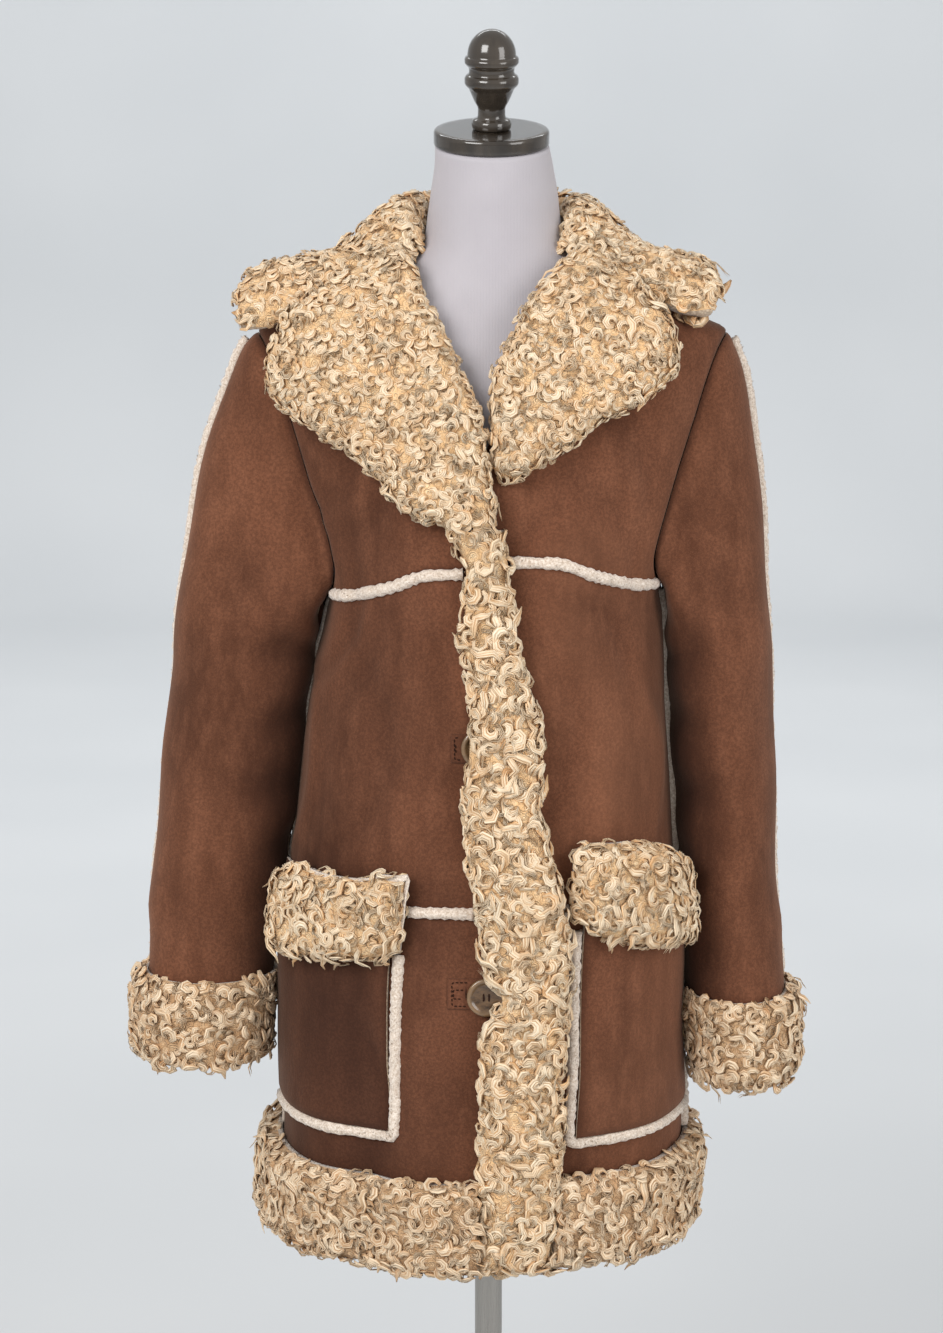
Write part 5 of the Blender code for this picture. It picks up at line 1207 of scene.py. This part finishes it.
LEAF_LEFT = np.array([
    [(0.0035, 0.0570, 1.4330), (0.0350, 0.0500, 1.4330), (0.0560, 0.0300, 1.4330), (0.0640, 0.0020, 1.4320),
     (0.0691, -0.0388, 1.4100), (0.1026, -0.0451, 1.3886), (0.1363, -0.0515, 1.3673)],
    [(0.0035, 0.0770, 1.4350), (0.0450, 0.0680, 1.4350), (0.0700, 0.0430, 1.4350), (0.0820, 0.0060, 1.4310),
     (0.0980, -0.0270, 1.4050), (0.1220, -0.0410, 1.3890), (0.1450, -0.0550, 1.3610)],
    [(0.0020, 0.0990, 1.4000), (0.0560, 0.0920, 1.3980), (0.0960, 0.0680, 1.3940), (0.1180, 0.0300, 1.3950),
     (0.1450, -0.0080, 1.3930), (0.1600, -0.0330, 1.3830), (0.1620, -0.0580, 1.3550)],
    [(0.0000, 0.1100, 1.3580), (0.0660, 0.1070, 1.3590), (0.1220, 0.0880, 1.3660), (0.1600, 0.0520, 1.3780),
     (0.1850, 0.0100, 1.3820), (0.1900, -0.0300, 1.3700), (0.1810, -0.0600, 1.3570)]])
LEAF_HALF = 0.013
STAND_Z = [1.4026, 1.4120, 1.4175]
STAND_WIDE = [0.0662, 0.0664, 0.0666]
STAND_DEEP = [0.0636, 0.0638, 0.0642]
STAND_WALL = 0.0030
STAND_FRONT = np.radians(-5.0)
INNER_FOOT = (0.0575, 1.400)       # radius and height where the locks inside the collar end
END_RADII = (0.0680, 0.0645)       # of the wool before the stand's front ends


def grow(name, grid, normal, pitch, seed, *shape):
    """Locks on a bare grid: ring, length, tight, rise and wide give their shape."""
    seat, up, down, rng = seats_on(grid, normal, pitch, seed)
    add_locks(name, [lock_paths(seat, up, down, rng, *shape)], HONEY[0], "long_wool")


leaf_lines = np.concatenate([LEAF_RIGHT[:, ::-1], LEAF_LEFT[:, 1:]], axis=1)
leaf_run = run_along(leaf_lines[-1])
leaf_at = leaf_run[-1] * ends(84)
leaf_lines = np.array([[through(leaf_at, leaf_run, line[:, i]) for i in range(3)] for line in leaf_lines])
leaf = np.array([[through(ends(18), LEAF_SHARES, leaf_lines[:, i, j]) for i in range(3)]
                 for j in range(len(leaf_at))]).swapaxes(1, 2)
leaf_normal = unit(np.cross(np.gradient(leaf, axis=0), np.gradient(leaf, axis=1)))
leaf_normal *= np.sign(leaf_normal[..., 2:])
half = puff(leaf, LEAF_HALF, 0.003).T
leaf = leaf.swapaxes(0, 1)
leaf_normal = leaf_normal.swapaxes(0, 1)
wool_pad("collar", "collar", leaf, leaf_normal, -half, 0.0, HONEY, seed=31,
         tops=np.maximum(2 * half - 0.0042, half + 0.001))
grow("collar_under_locks", leaf - leaf_normal * (half - 0.0005)[..., None], -leaf_normal, 0.0180, 33,
     0.0056, 0.020, 0.6, 0.002, 0.0050)

angle, z = np.meshgrid(STAND_FRONT + (PI - 2 * STAND_FRONT) * even(80), np.linspace(STAND_Z[0], STAND_Z[-1], 6))
stand = np.stack([RINGS["centre_x"][-1] + through(z, STAND_Z, STAND_WIDE) * np.cos(angle),
                  through(z, STAND_Z, STAND_DEEP) * np.sin(angle), z], -1)
stand_normal = np.stack([np.cos(angle), np.sin(angle), np.zeros_like(angle)], -1)
stand_piece = shell("suede_collar_stand", stand, stand_normal, -STAND_WALL, 0.0, [suede, short_wool],
                    seam=np.zeros(angle.shape))
settle(stand_piece, "suede", "collar_stand")
cut_sheet(stand)

front_ends = np.flatnonzero((leaf[0, :, 1] < 0.012) & (leaf[0, :, 1] > -0.040))
for side in (RIGHT, LEFT):
    kept = front_ends[leaf[0, front_ends, 0] * side > 0]
    above = leaf[0, kept] + np.array([0.0, 0.0, 0.002])
    below = np.concatenate([INNER_FOOT[0] * unit(above[:, :2]), np.full((len(kept), 1), INNER_FOOT[1])], axis=1)
    share = np.linspace(0, 1, 6)[:, None, None]
    fill = above * (1 - share) + below * share
    fill_normal = np.broadcast_to(np.array([-0.25 * side, -0.85, 0.45]), fill.shape)
    grow("collar_inner_locks_" + WORD[side], fill[:, ::-side], fill_normal, 0.0060, 37 + side,
         0.0036, 0.014, 0.8, 0.003, 0.0030)
end_turn, end_z = np.meshgrid(np.linspace(-0.30, 0.55, 8), np.linspace(1.398, 1.432, 6))
for side in (RIGHT, LEFT):
    end_x = RINGS["centre_x"][-1] + side * END_RADII[0] * np.cos(end_turn)
    end_grid = np.stack([end_x, END_RADII[1] * np.sin(end_turn), end_z], -1)
    end_normal = np.stack(np.broadcast_arrays(0.15 * side * np.cos(end_turn), -0.9, 0.4), -1)
    grow("collar_end_locks_" + WORD[side], end_grid[:, ::side], unit(end_normal)[:, ::side], 0.0066, 34 + side,
         0.0036, 0.016, 0.7, 0.003, 0.0028)

# ---------------------------------------------------------------- front edge
# Long wool left standing down the lapped edge, from the lapel to the hem.
BAND_Z = [0.566, 0.645, 0.750, 0.833, 0.883, 0.928, 0.961, 1.000, 1.054, 1.098, 1.150, 1.186]
BAND_NEAR = [-0.0080, -0.0096, -0.0080, -0.0065, -0.0114, -0.0186, -0.0202, -0.0170, -0.0146, -0.0218, -0.0195,
             -0.0340]
BAND_FAR = [0.0450, 0.0547, 0.0580, 0.0620, 0.0550, 0.0450, 0.0390, 0.0400, 0.0302, 0.0213, 0.0156, 0.0110]
BAND_SIDE = {RIGHT: BAND_NEAR, LEFT: BAND_FAR}
BUTTON_PLACES = {"button_upper": (-0.0075, 1.0085), "button_lower": (-0.0030, 0.8035)}
BUTTON_RADIUS = 0.0163
PARTED = {"button_upper": (0.006, 0.014), "button_lower": (0.115, 0.017)}   # turn, half height
FREE_SIDE = {"button_upper": -0.003, "button_lower": 0.010}    # the wool starts this far from the middle
BUTTON_ROOM = 0.0065               # under the wool that covers a button

places = front_patch((BAND_NEAR, BAND_Z), (BAND_FAR, BAND_Z), ends(14), even(90))
angle, z = places[..., 0], places[..., 1]
parted = sum(turn * bell((z - BUTTON_PLACES[name][1]) / tall) for name, (turn, tall) in PARTED.items())
angle = angle + parted * (1 - ends(14)) ** 1.5
base = body(angle, z)
low = np.full(z.shape, LAP + REST)
for x_at, z_at in BUTTON_PLACES.values():
    away = np.hypot(base[..., 0] - x_at, base[..., 2] - z_at)
    low += BUTTON_ROOM * (1 - ease((away - BUTTON_RADIUS - 0.004) / 0.010))
band_top = np.maximum(LAP + puff(base, FUR - 0.004, 0.0045, head=False), low + 0.002)


def off_buttons(seat):
    """Keeps locks whose seats lie clear of the buttons' free sides."""
    kept = np.ones(len(seat), bool)
    for name, (x_at, z_at) in BUTTON_PLACES.items():
        kept &= (np.hypot(seat[:, 0] - x_at, seat[:, 2] - z_at) > 0.012) | (seat[:, 0] > x_at + FREE_SIDE[name])
    return kept


wool_pad("front_edge", "front_edge_fur", base, outward(angle, z), low, FUR, HONEY, seed=41, spacing=0.0086,
         ring=0.0064, tight=0.85, length=0.028, wide=0.0035, tops=band_top - low, clear_of=off_buttons)

# ---------------------------------------------------------------- hem
# Wool band round the hem in three lengths, parted at the side seams.
HEM_FUR = 0.020
SIDE_GAP = 0.004
hem_shape = {"ring": 0.0058, "tight": 0.85, "length": 0.024, "near": False, "far": False}
hem_heights = np.array([FUR_HEM_Z, FUR_HEM_TOP])
for side in (RIGHT, LEFT):
    start = front_angle(through(hem_heights, BAND_Z, BAND_SIDE[side]) + side * 0.0015, hem_heights)
    stop = float(turned(side, SIDE_TURN - SIDE_GAP))
    places = straight_patch((start[0], FUR_HEM_Z), (stop, FUR_HEM_Z), (start[1], FUR_HEM_TOP), (stop, FUR_HEM_TOP),
                            even(34), ends(14))
    base, normal, lift = laid(places[::-1], side)
    wool_pad("hem_" + WORD[side], "hem_fur_" + WORD[side], base, normal, lift + 0.0012, HEM_FUR, OAT,
             seed=50 + side, spacing=0.0084, wide=0.0035, **hem_shape)
start = float(turned(RIGHT, SIDE_TURN + SIDE_GAP, behind=True))
angle, z = np.meshgrid(start + (SIDE_TURN + SIDE_GAP - start) * even(70),
                       FUR_HEM_TOP + (FUR_HEM_Z - FUR_HEM_TOP) * ends(14))
wool_pad("hem_back", "hem_fur_back", body(angle, z), outward(angle, z), REST, HEM_FUR, OAT, seed=55,
         spacing=0.0088, wide=0.0036, **hem_shape)

# ---------------------------------------------------------------- cuffs
# Turned-back cuffs, wool outside, pressed flat where they face the body.
CUFF_FUR = 0.018
CUFF_INSIDE = 0.0060
rows = ends(14)
for side in (RIGHT, LEFT):
    foot, head = CUFF_Z[side]
    heights = head + (foot - head) * rows
    turn, down = np.meshgrid(2 * even(60)[:-1], down_at(side, heights))
    base = sleeve(side, turn, down)
    base[..., 2] = heights[:, None]
    inner_side = (0.5 + 0.5 * np.cos(PI * turn)) ** 1.5
    thick = CUFF_FUR - 0.004 + (CUFF_INSIDE - CUFF_FUR + 0.002) * inner_side
    rounded = np.sqrt(1 - (1 - np.minimum(1, 3.2 * np.minimum(rows, 1 - rows))) ** 2)[:, None]
    wool_pad("cuff_" + WORD[side], "cuff_" + WORD[side], base, sleeve_normal(side, turn, down), REST, CUFF_FUR,
             OAT, seed=60 + side, spacing=0.0083, ring=0.0050, wide=0.0034, tight=0.88, closed=True,
             tops=0.0025 + (thick - 0.0035) * rounded)

# ---------------------------------------------------------------- pockets
# Suede patch pockets with a deep turned wool top; clipped wool shows in their seam.
POCKET_INNER_X = {RIGHT: (-0.0777, -0.0715), LEFT: (0.0667, 0.0725)}
POCKET_FOOT_Z = {RIGHT: 0.678, LEFT: 0.672}
POCKET_HEAD_Z = 0.888
POCKET_SIDE_TURN = np.radians(-8.0)
TRIM_WIDTH = 0.009
FLAP_ALONG = [0.0, 0.35, 1.0]
FLAP_FOOT = {RIGHT: [0.836, 0.829, 0.820], LEFT: [0.864, 0.842, 0.824]}
FLAP_HEAD = {RIGHT: [0.907, 0.896, 0.893], LEFT: [0.928, 0.926, 0.902]}
FLAP_ROUNDING = {RIGHT: 0.10, LEFT: 0.20}
POCKET_FUR_INNER_X = {RIGHT: -0.0675, LEFT: 0.0660}
POCKET_FUR_TURN = np.radians(-21.0)


def pocket_inner_x(side, z):
    """The pocket's inner edge leans a little from foot to head."""
    foot_x, head_x = POCKET_INNER_X[side]
    return foot_x + (head_x - foot_x) * (z - POCKET_FOOT_Z[side]) / (POCKET_HEAD_Z - POCKET_FOOT_Z[side])


def flap_angle(side, foot_z, head_z, share):
    """Compass angle along a pocket's wool top, from its inner end at 0 to its outer one at 1."""
    start = float(front_angle(POCKET_FUR_INNER_X[side], 0.5 * (foot_z + head_z)))
    return start + (float(turned(side, POCKET_FUR_TURN)) - start) * share


for side in (RIGHT, LEFT):
    inset = TRIM_WIDTH / 2 + 0.0008
    low_z = POCKET_FOOT_Z[side] + inset
    side_angle = float(turned(side, POCKET_SIDE_TURN))
    corner = [(float(front_angle(pocket_inner_x(side, z) + side * inset, z)), z) for z in (low_z, POCKET_HEAD_Z)]
    places = straight_patch(corner[0], (side_angle, low_z), corner[1], (side_angle, POCKET_HEAD_Z),
                            seam_shares(26, 0.12), seam_shares(34, 0.20))
    base, normal, lift = laid(places, side)
    suede_shell("suede_pocket_" + WORD[side], base, normal, lift + REST + WALL, "pocket_" + WORD[side],
                rests_on="suede_skirt_front_" + WORD[side], fold=nap_fold(places[..., 0], places[..., 1]))

    share = ends(26)
    low_line = through(share, FLAP_ALONG, FLAP_FOOT[side])
    high_line = through(share, FLAP_ALONG, FLAP_HEAD[side])
    tall_here = (high_line - low_line) * (1 - FLAP_ROUNDING[side] * np.abs(2 * share - 1) ** 6)
    z = 0.5 * (high_line + low_line) + tall_here * (0.5 - ends(18)[:, None])
    angle = flap_angle(side, FLAP_FOOT[side][0], FLAP_HEAD[side][0], share)
    base, normal, lift = laid(np.stack(np.broadcast_arrays(angle, z), -1), side)
    wool_pad("pocket_top_" + WORD[side], "pocket_fur_" + WORD[side], base, normal, REST + WALL + REST + lift, FUR,
             HONEY, seed=70 + side, spacing=0.0084, ring=0.0064, tight=0.80, length=0.026, wide=0.0033)

# ---------------------------------------------------------------- seam strips
# Seam allowances left outside and clipped short: half-round strips of pale wool with a
# ragged pile.
STRIP_LOW = -0.0012        # the strips reach this far into the seam
STRIP_STEP = 0.0028         # between two bows of a strip
TUFT_STEP = 0.0022          # between two tufts
SEAM_DROP = 0.0022         # the chest strips lie this far below the seam
TUFT_INSET = 0.0022        # tufts start this far inside the strip
SIDE_STRIP = {RIGHT: (0.035, 0.0014), LEFT: (-0.012, 0.0060)}     # turn from the side seam, height
clipped, tree, shader = new_material("clipped_wool", 0.95, Sheen_Weight=0.5)
pile = noise(tree, 520.0, 3.0, roughness=0.7)
paint(tree, shader, (0.56, 0.44, 0.34), (pile, 0.35, 0.65, 0, 1, (0.92, 0.82, 0.72)))
bump(tree, shader, pile, 0.0012, 0.9)
cream_pile = wool_material("cream_pile", (0.62, 0.50, 0.40), (0.84, 0.73, 0.62), (0.95, 0.87, 0.78))


def strip(name, path, normal, seed, height=0.0050):
    """Half-round strip along a path: a bow of seven points carried along it, roughened by
    a random height at every point, and short tufts that stand out of it."""
    rng = np.random.default_rng(seed)
    run = run_along(path)
    at = np.linspace(0, run[-1], max(4, int(run[-1] / STRIP_STEP)))
    path = resampled(at, run, path)
    normal = unit(resampled(at, run, normal))
    along = np.gradient(path, axis=0)
    sideways = unit(np.cross(along, normal))
    bow = np.radians(np.linspace(0, 180, 7))
    out = -np.cos(bow)[None, :] * (TRIM_WIDTH / 2 + 0.0003) * (1 + 0.16 * rng.uniform(-1, 1, (len(path), 1)))
    tall = 0.0004 + np.sin(bow)[None, :] * (height + 0.0002) * (0.72 + 0.42 * rng.uniform(0, 1, (len(path), 7)))
    base = path[:, None] + sideways[:, None] * out[..., None]
    item = shell(name + "_pile", base, np.broadcast_to(normal[:, None], base.shape), STRIP_LOW, tall,
                 [clipped, clipped])
    settle(item, "clipped_wool", name)
    count = int(at[-1] / TUFT_STEP) * 2
    i = rng.integers(0, len(path), count)
    j = rng.uniform(0, PI, count)
    lean_out = sideways[i] * -np.cos(j)[:, None] + normal[i] * (0.25 + np.sin(j))[:, None]
    lean_out = unit(lean_out + along[i] / TUFT_STEP * rng.uniform(-0.6, 0.6, (count, 1)))
    foot = (path[i] + along[i] * rng.uniform(-0.5, 0.5, (count, 1))
            + sideways[i] * (-np.cos(j) * (TRIM_WIDTH / 2 - TUFT_INSET))[:, None]
            + normal[i] * (0.0003 + np.sin(j) * (height - 0.0020))[:, None])
    t = np.linspace(0, 1, 3)[None, :, None]
    bent = rng.uniform(-0.0006, 0.0006, (count, 1, 3)) * t * t
    tall_tuft = rng.uniform(0.0014, 0.0030, (count, 1, 1))
    tufts = foot[:, None] + lean_out[:, None] * tall_tuft * t + bent
    fat = np.array([0.00050, 0.00042, 0.00012])[None, :] * rng.uniform(0.7, 1.3, (count, 1))
    up = np.cross(lean_out, normal[i]) + 1e-4
    add_locks(name + "_tufts", [(tufts, fat, up, rng.uniform(0.6, 1.0, count), foot, 0.003)], cream_pile,
              "clipped_wool", HAIR)


def surface_strip(name, places, seed, side=LEFT, **sizes):
    """Strip whose path runs through places on the body surface."""
    path, normal, lift = laid(places, side)
    strip(name, path + normal * np.reshape(lift, (-1, 1)), normal, seed, **sizes)


for side in (RIGHT, LEFT):
    chest_mid = float(chest_z(side, -PI / 2))
    start, hip_start = (float(front_angle(through(z, BAND_Z, BAND_SIDE[side]) + side * 0.0025, z))
                        for z in (chest_mid, HIP_Z))
    angle = start + (float(turned(side, np.radians(-20.0))) - start) * even(90)
    seam_z = chest_z(side, angle if side == LEFT else -PI - angle)
    surface_strip("chest_trim_" + WORD[side], np.stack([angle, seam_z - SEAM_DROP], -1), 80 + side, side)
    stop = float(front_angle(POCKET_FUR_INNER_X[side] - side * 0.002, HIP_Z))
    surface_strip("hip_trim_" + WORD[side], between((hip_start, HIP_Z), (stop, HIP_Z))(even(90)), 83 + side, side)
    angle = float(turned(side, SIDE_TURN + SIDE_STRIP[side][0]))
    line = between((angle, FUR_HEM_TOP + 0.002), (angle, float(chest_z(side, SIDE_TURN)) - 0.010))
    surface_strip("side_trim_" + WORD[side], line(even(90)), 86 + side, height=SIDE_STRIP[side][1])
    downs = np.linspace(0.10, float(down_at(side, CUFF_Z[side][1] + 0.004)), 120)
    strip("sleeve_trim_" + WORD[side], *clothed_sleeve(side, np.full(120, 1.0), downs), 89 + side)

    top_z = float(through(0.2, FLAP_ALONG, FLAP_FOOT[side])) + 0.004
    foot_z = POCKET_FOOT_Z[side]
    z = np.linspace(top_z, foot_z + 0.004, 40)
    start = front_angle(POCKET_INNER_X[side][0] + side * 0.004, foot_z)
    along = np.stack([np.linspace(start, float(turned(side, POCKET_SIDE_TURN)), 40), np.full(40, foot_z)], -1)
    surface_strip("pocket_trim_" + WORD[side], np.concatenate([on_front(pocket_inner_x(side, z), z), along]),
                  92 + side, side, height=0.0060)

# clipped border that shows along the top and the inner end of the right pocket's wool
share = np.concatenate([np.linspace(0.80, 0.0, 30), np.full(14, -0.012)])
foot_z, head_z = (through(np.clip(share, 0, 1), FLAP_ALONG, table[RIGHT]) for table in (FLAP_FOOT, FLAP_HEAD))
z = head_z + 0.0005 - (head_z - foot_z) * np.concatenate([0.03 * np.ones(30), np.linspace(0.06, 0.70, 14)])
path, out, lift = laid(np.stack([flap_angle(RIGHT, foot_z[-1], head_z[-1], share), z], -1), RIGHT)
rim_path = path + out * (lift + REST + WALL + 0.0090)[:, None]
rim_fat = 0.0030 * np.minimum(1, 0.3 + 8 * np.minimum(np.linspace(0, 1, 44), np.linspace(1, 0, 44)))
border = (rim_path[None], rim_fat[None], out[:1], np.array([0.8]), rim_path[:1], 0.003)
add_locks("pocket_top_right_border", [border], clipped, "clipped_wool", FINE, 0.0)

start, stop = (float(turned(side, np.radians(18.0), behind=True)) for side in (RIGHT, LEFT))
angle = start + (stop - start) * even(90)
seam_z = back_chest_z((back_right - angle) / (back_right - SIDE_TURN))
surface_strip("chest_trim_back", np.stack([angle, seam_z - SEAM_DROP], -1), 95)
start, stop = (float(turned(side, SIDE_TURN + 0.0075 / 0.1635, behind=True)) for side in (RIGHT, LEFT))
surface_strip("hip_trim_back", between((start, HIP_Z), (stop, HIP_Z))(even(90)), 96)

# ---------------------------------------------------------------- buttons and buttonholes
# Turned horn buttons with a raised rim and sewn shanks, and stitched suede patches round
# the buttonholes on the lapped front.
PATCHES = {"buttonhole_patch_lower": ((-0.0350, -0.0020), (0.7925, 0.8185)),
           "buttonhole_patch_upper": ((-0.0310, -0.0060), (0.9960, 1.0200))}
STITCH_LIFT = 0.0002
BUTTON_LOW = LAP + REST / 2        # the buttons' undersides over the body
PATCH_LIFT = 0.0013                # the stitches over the patches' undersides

horn, tree, shader = new_material("brown_horn", 0.22, Coat_Weight=0.5, Coat_Roughness=0.08)
swirls = noise(tree, 90.0, 5.0, (1.0, 1.0, 2.2), roughness=0.65)
paint(tree, shader, (0.050, 0.026, 0.012), (swirls, 0.35, 0.65, 0, 1, (0.165, 0.092, 0.042)),
      (*read_values(tree, "rim"), 0.0, 1.0, 0.0, 0.65, (0.30, 0.19, 0.100)))
bump(tree, shader, swirls, 0.0002, 0.3)

thread, tree, shader = new_material("brown_thread", 0.85, Specular_IOR_Level=0.1)
twist = noise(tree, 1500.0, 1.0)
tree.links.new(blend_colours(tree, twist, (0.022, 0.010, 0.007), (0.050, 0.021, 0.013)),
               shader.inputs["Base Color"])
bump(tree, shader, twist, 0.0002, 0.5)

r = BUTTON_RADIUS
button_profile = rounded_profile([(0, 0), (r - 0.004, 0), (r - 0.0010, 0.0014), (r, 0.0030), (r - 0.0008, 0.0044),
                                  (r - 0.0024, 0.0049), (r - 0.0042, 0.0042), (r - 0.0056, 0.0033),
                                  (0.0060, 0.0030), (0, 0.0029)], 32)


def stitches(path, normal, pitch, long, thick):
    """Row of sewn stitches: each a small bowed tube whose ends sink into the skin."""
    run = run_along(path)
    starts = np.arange(pitch / 2, run[-1] - long, pitch)
    t = np.linspace(0, 1, 5)
    at = starts[:, None] + long * t[None, :]
    out = resampled(at, run, normal)
    place = resampled(at, run, path) + out * (STITCH_LIFT + thick * (2.2 * np.sin(PI * t) - 0.8))[None, :, None]
    fat = np.broadcast_to(thick * (0.7 + 0.3 * np.sin(PI * t)), at.shape)
    return place, fat, out[:, 2], np.full(len(starts), 0.5), place[:, 0]


sewn = []
for name, (x_at, z_at) in BUTTON_PLACES.items():
    place, out, _ = laid(on_front(x_at, z_at), RIGHT)
    across_it = np.cross([0.0, 0.0, 1.0], out)
    across_it /= np.linalg.norm(across_it)
    upward = np.cross(out, across_it)
    spin = 2 * PI * np.arange(48) / 48
    radius = np.maximum(button_profile[:, :1], 1e-5)
    grid = (place + out * BUTTON_LOW + across_it * (radius * np.cos(spin))[..., None]
            + upward * (radius * np.sin(spin))[..., None] + out * button_profile[:, 1][:, None, None])
    item = add_piece("horn_" + name, grid.reshape(-1, 3), quads(len(button_profile), 48, ring=True),
                     materials=[horn], rim=np.broadcast_to(bell((radius - r + 0.0020) / 0.0016), grid.shape[:2]))
    settle(item, "horn", name)
    t = np.linspace(-1, 1, 7)
    for hole_x in (-0.0022, 0.0022):
        bar = (place + out * (BUTTON_LOW + 0.0030) + across_it * hole_x
               + upward * (0.0030 * t)[:, None] + out * (0.0009 * (1 - t ** 4))[:, None])
        sewn.append((bar[None], np.full((1, 7), 0.0006), out[None], np.array([0.5]), bar[:1]))

for name, ((x_from, x_to), (z_from, z_to)) in PATCHES.items():
    mid_x, mid_z, wide, tall = 0.5 * (x_from + x_to), 0.5 * (z_from + z_to), x_to - x_from, z_to - z_from
    u, v = np.meshgrid(2 * even(26) - 1, 2 * even(20) - 1)
    x = mid_x + 0.5 * wide * u * np.sqrt(1 - 0.05 * v * v)
    z = mid_z + 0.5 * tall * v * np.sqrt(1 - 0.05 * u * u)
    base, normal, lift = laid(on_front(x, z), RIGHT)
    button_x, button_z = BUTTON_PLACES[name.replace("buttonhole_patch", "button")]
    away = np.hypot(x - button_x, z - button_z)
    border = np.minimum(1 - np.abs(u), 1 - np.abs(v))
    lift = lift + 0.0001
    top = 0.0002 + 0.0011 * ease((away - BUTTON_RADIUS + 0.004) / 0.004) * ease(border / 0.05 + 0.4)
    # the patch's suede a little darker all over, and painted shade towards its edges
    item = shell(name, base, normal, lift, lift + top, [suede, suede], seam=0.45 + 0.5 * bell(border / 0.10))
    settle(item, "suede")
    cut_sheet(base)
    for wide_share, tall_share in ((0.80, 0.80), (0.72, 0.30)):
        spin = np.linspace(0, 2 * PI, 90)
        squared = (np.abs(np.cos(spin)) ** 14 + np.abs(np.sin(spin)) ** 14) ** (-1 / 14)
        x = mid_x + 0.47 * wide * wide_share * squared * np.cos(spin)
        z = mid_z + 0.47 * tall * tall_share * squared * np.sin(spin)
        path, out, lift = laid(on_front(x, z), RIGHT)
        path = path + out * (lift + PATCH_LIFT)[:, None]
        clear = np.hypot(x - button_x, z - button_z) > BUTTON_RADIUS + 0.001
        sewn.append(stitches(path[clear], out[clear], 0.0036, 0.0026, 0.00048))
    slit, out, lift = laid(on_front(np.full(7, mid_x - 0.001), np.linspace(z_from + 0.008, z_to - 0.007, 7)), RIGHT)
    slit = slit + out * (lift + 0.0012)[:, None]
    fat = 0.0009 * np.sin(PI * np.linspace(0.12, 0.88, 7))
    sewn.append((slit[None], fat[None], out[:1], np.array([0.5]), slit[:1]))

groups = []
for place, fat, out, tone, foot in sewn:
    at = np.linspace(0, 1, 7)
    old = np.linspace(0, 1, place.shape[1])
    i = np.clip(np.searchsorted(old, at, side="right") - 1, 0, len(old) - 2)
    share = (at - old[i]) / (old[i + 1] - old[i])
    groups.append((place[:, i] + (place[:, i + 1] - place[:, i]) * share[None, :, None],
                   fat[:, i] + (fat[:, i + 1] - fat[:, i]) * share[None, :], out, tone, foot, 0.001))
add_locks("patch_stitches", groups, thread, "suede", HAIR, 0.0)

# ---------------------------------------------------------------- sizes
print("cut sizes", {key: (round(w, 3), round(h, 3)) for key, (w, h) in cuts.items()})
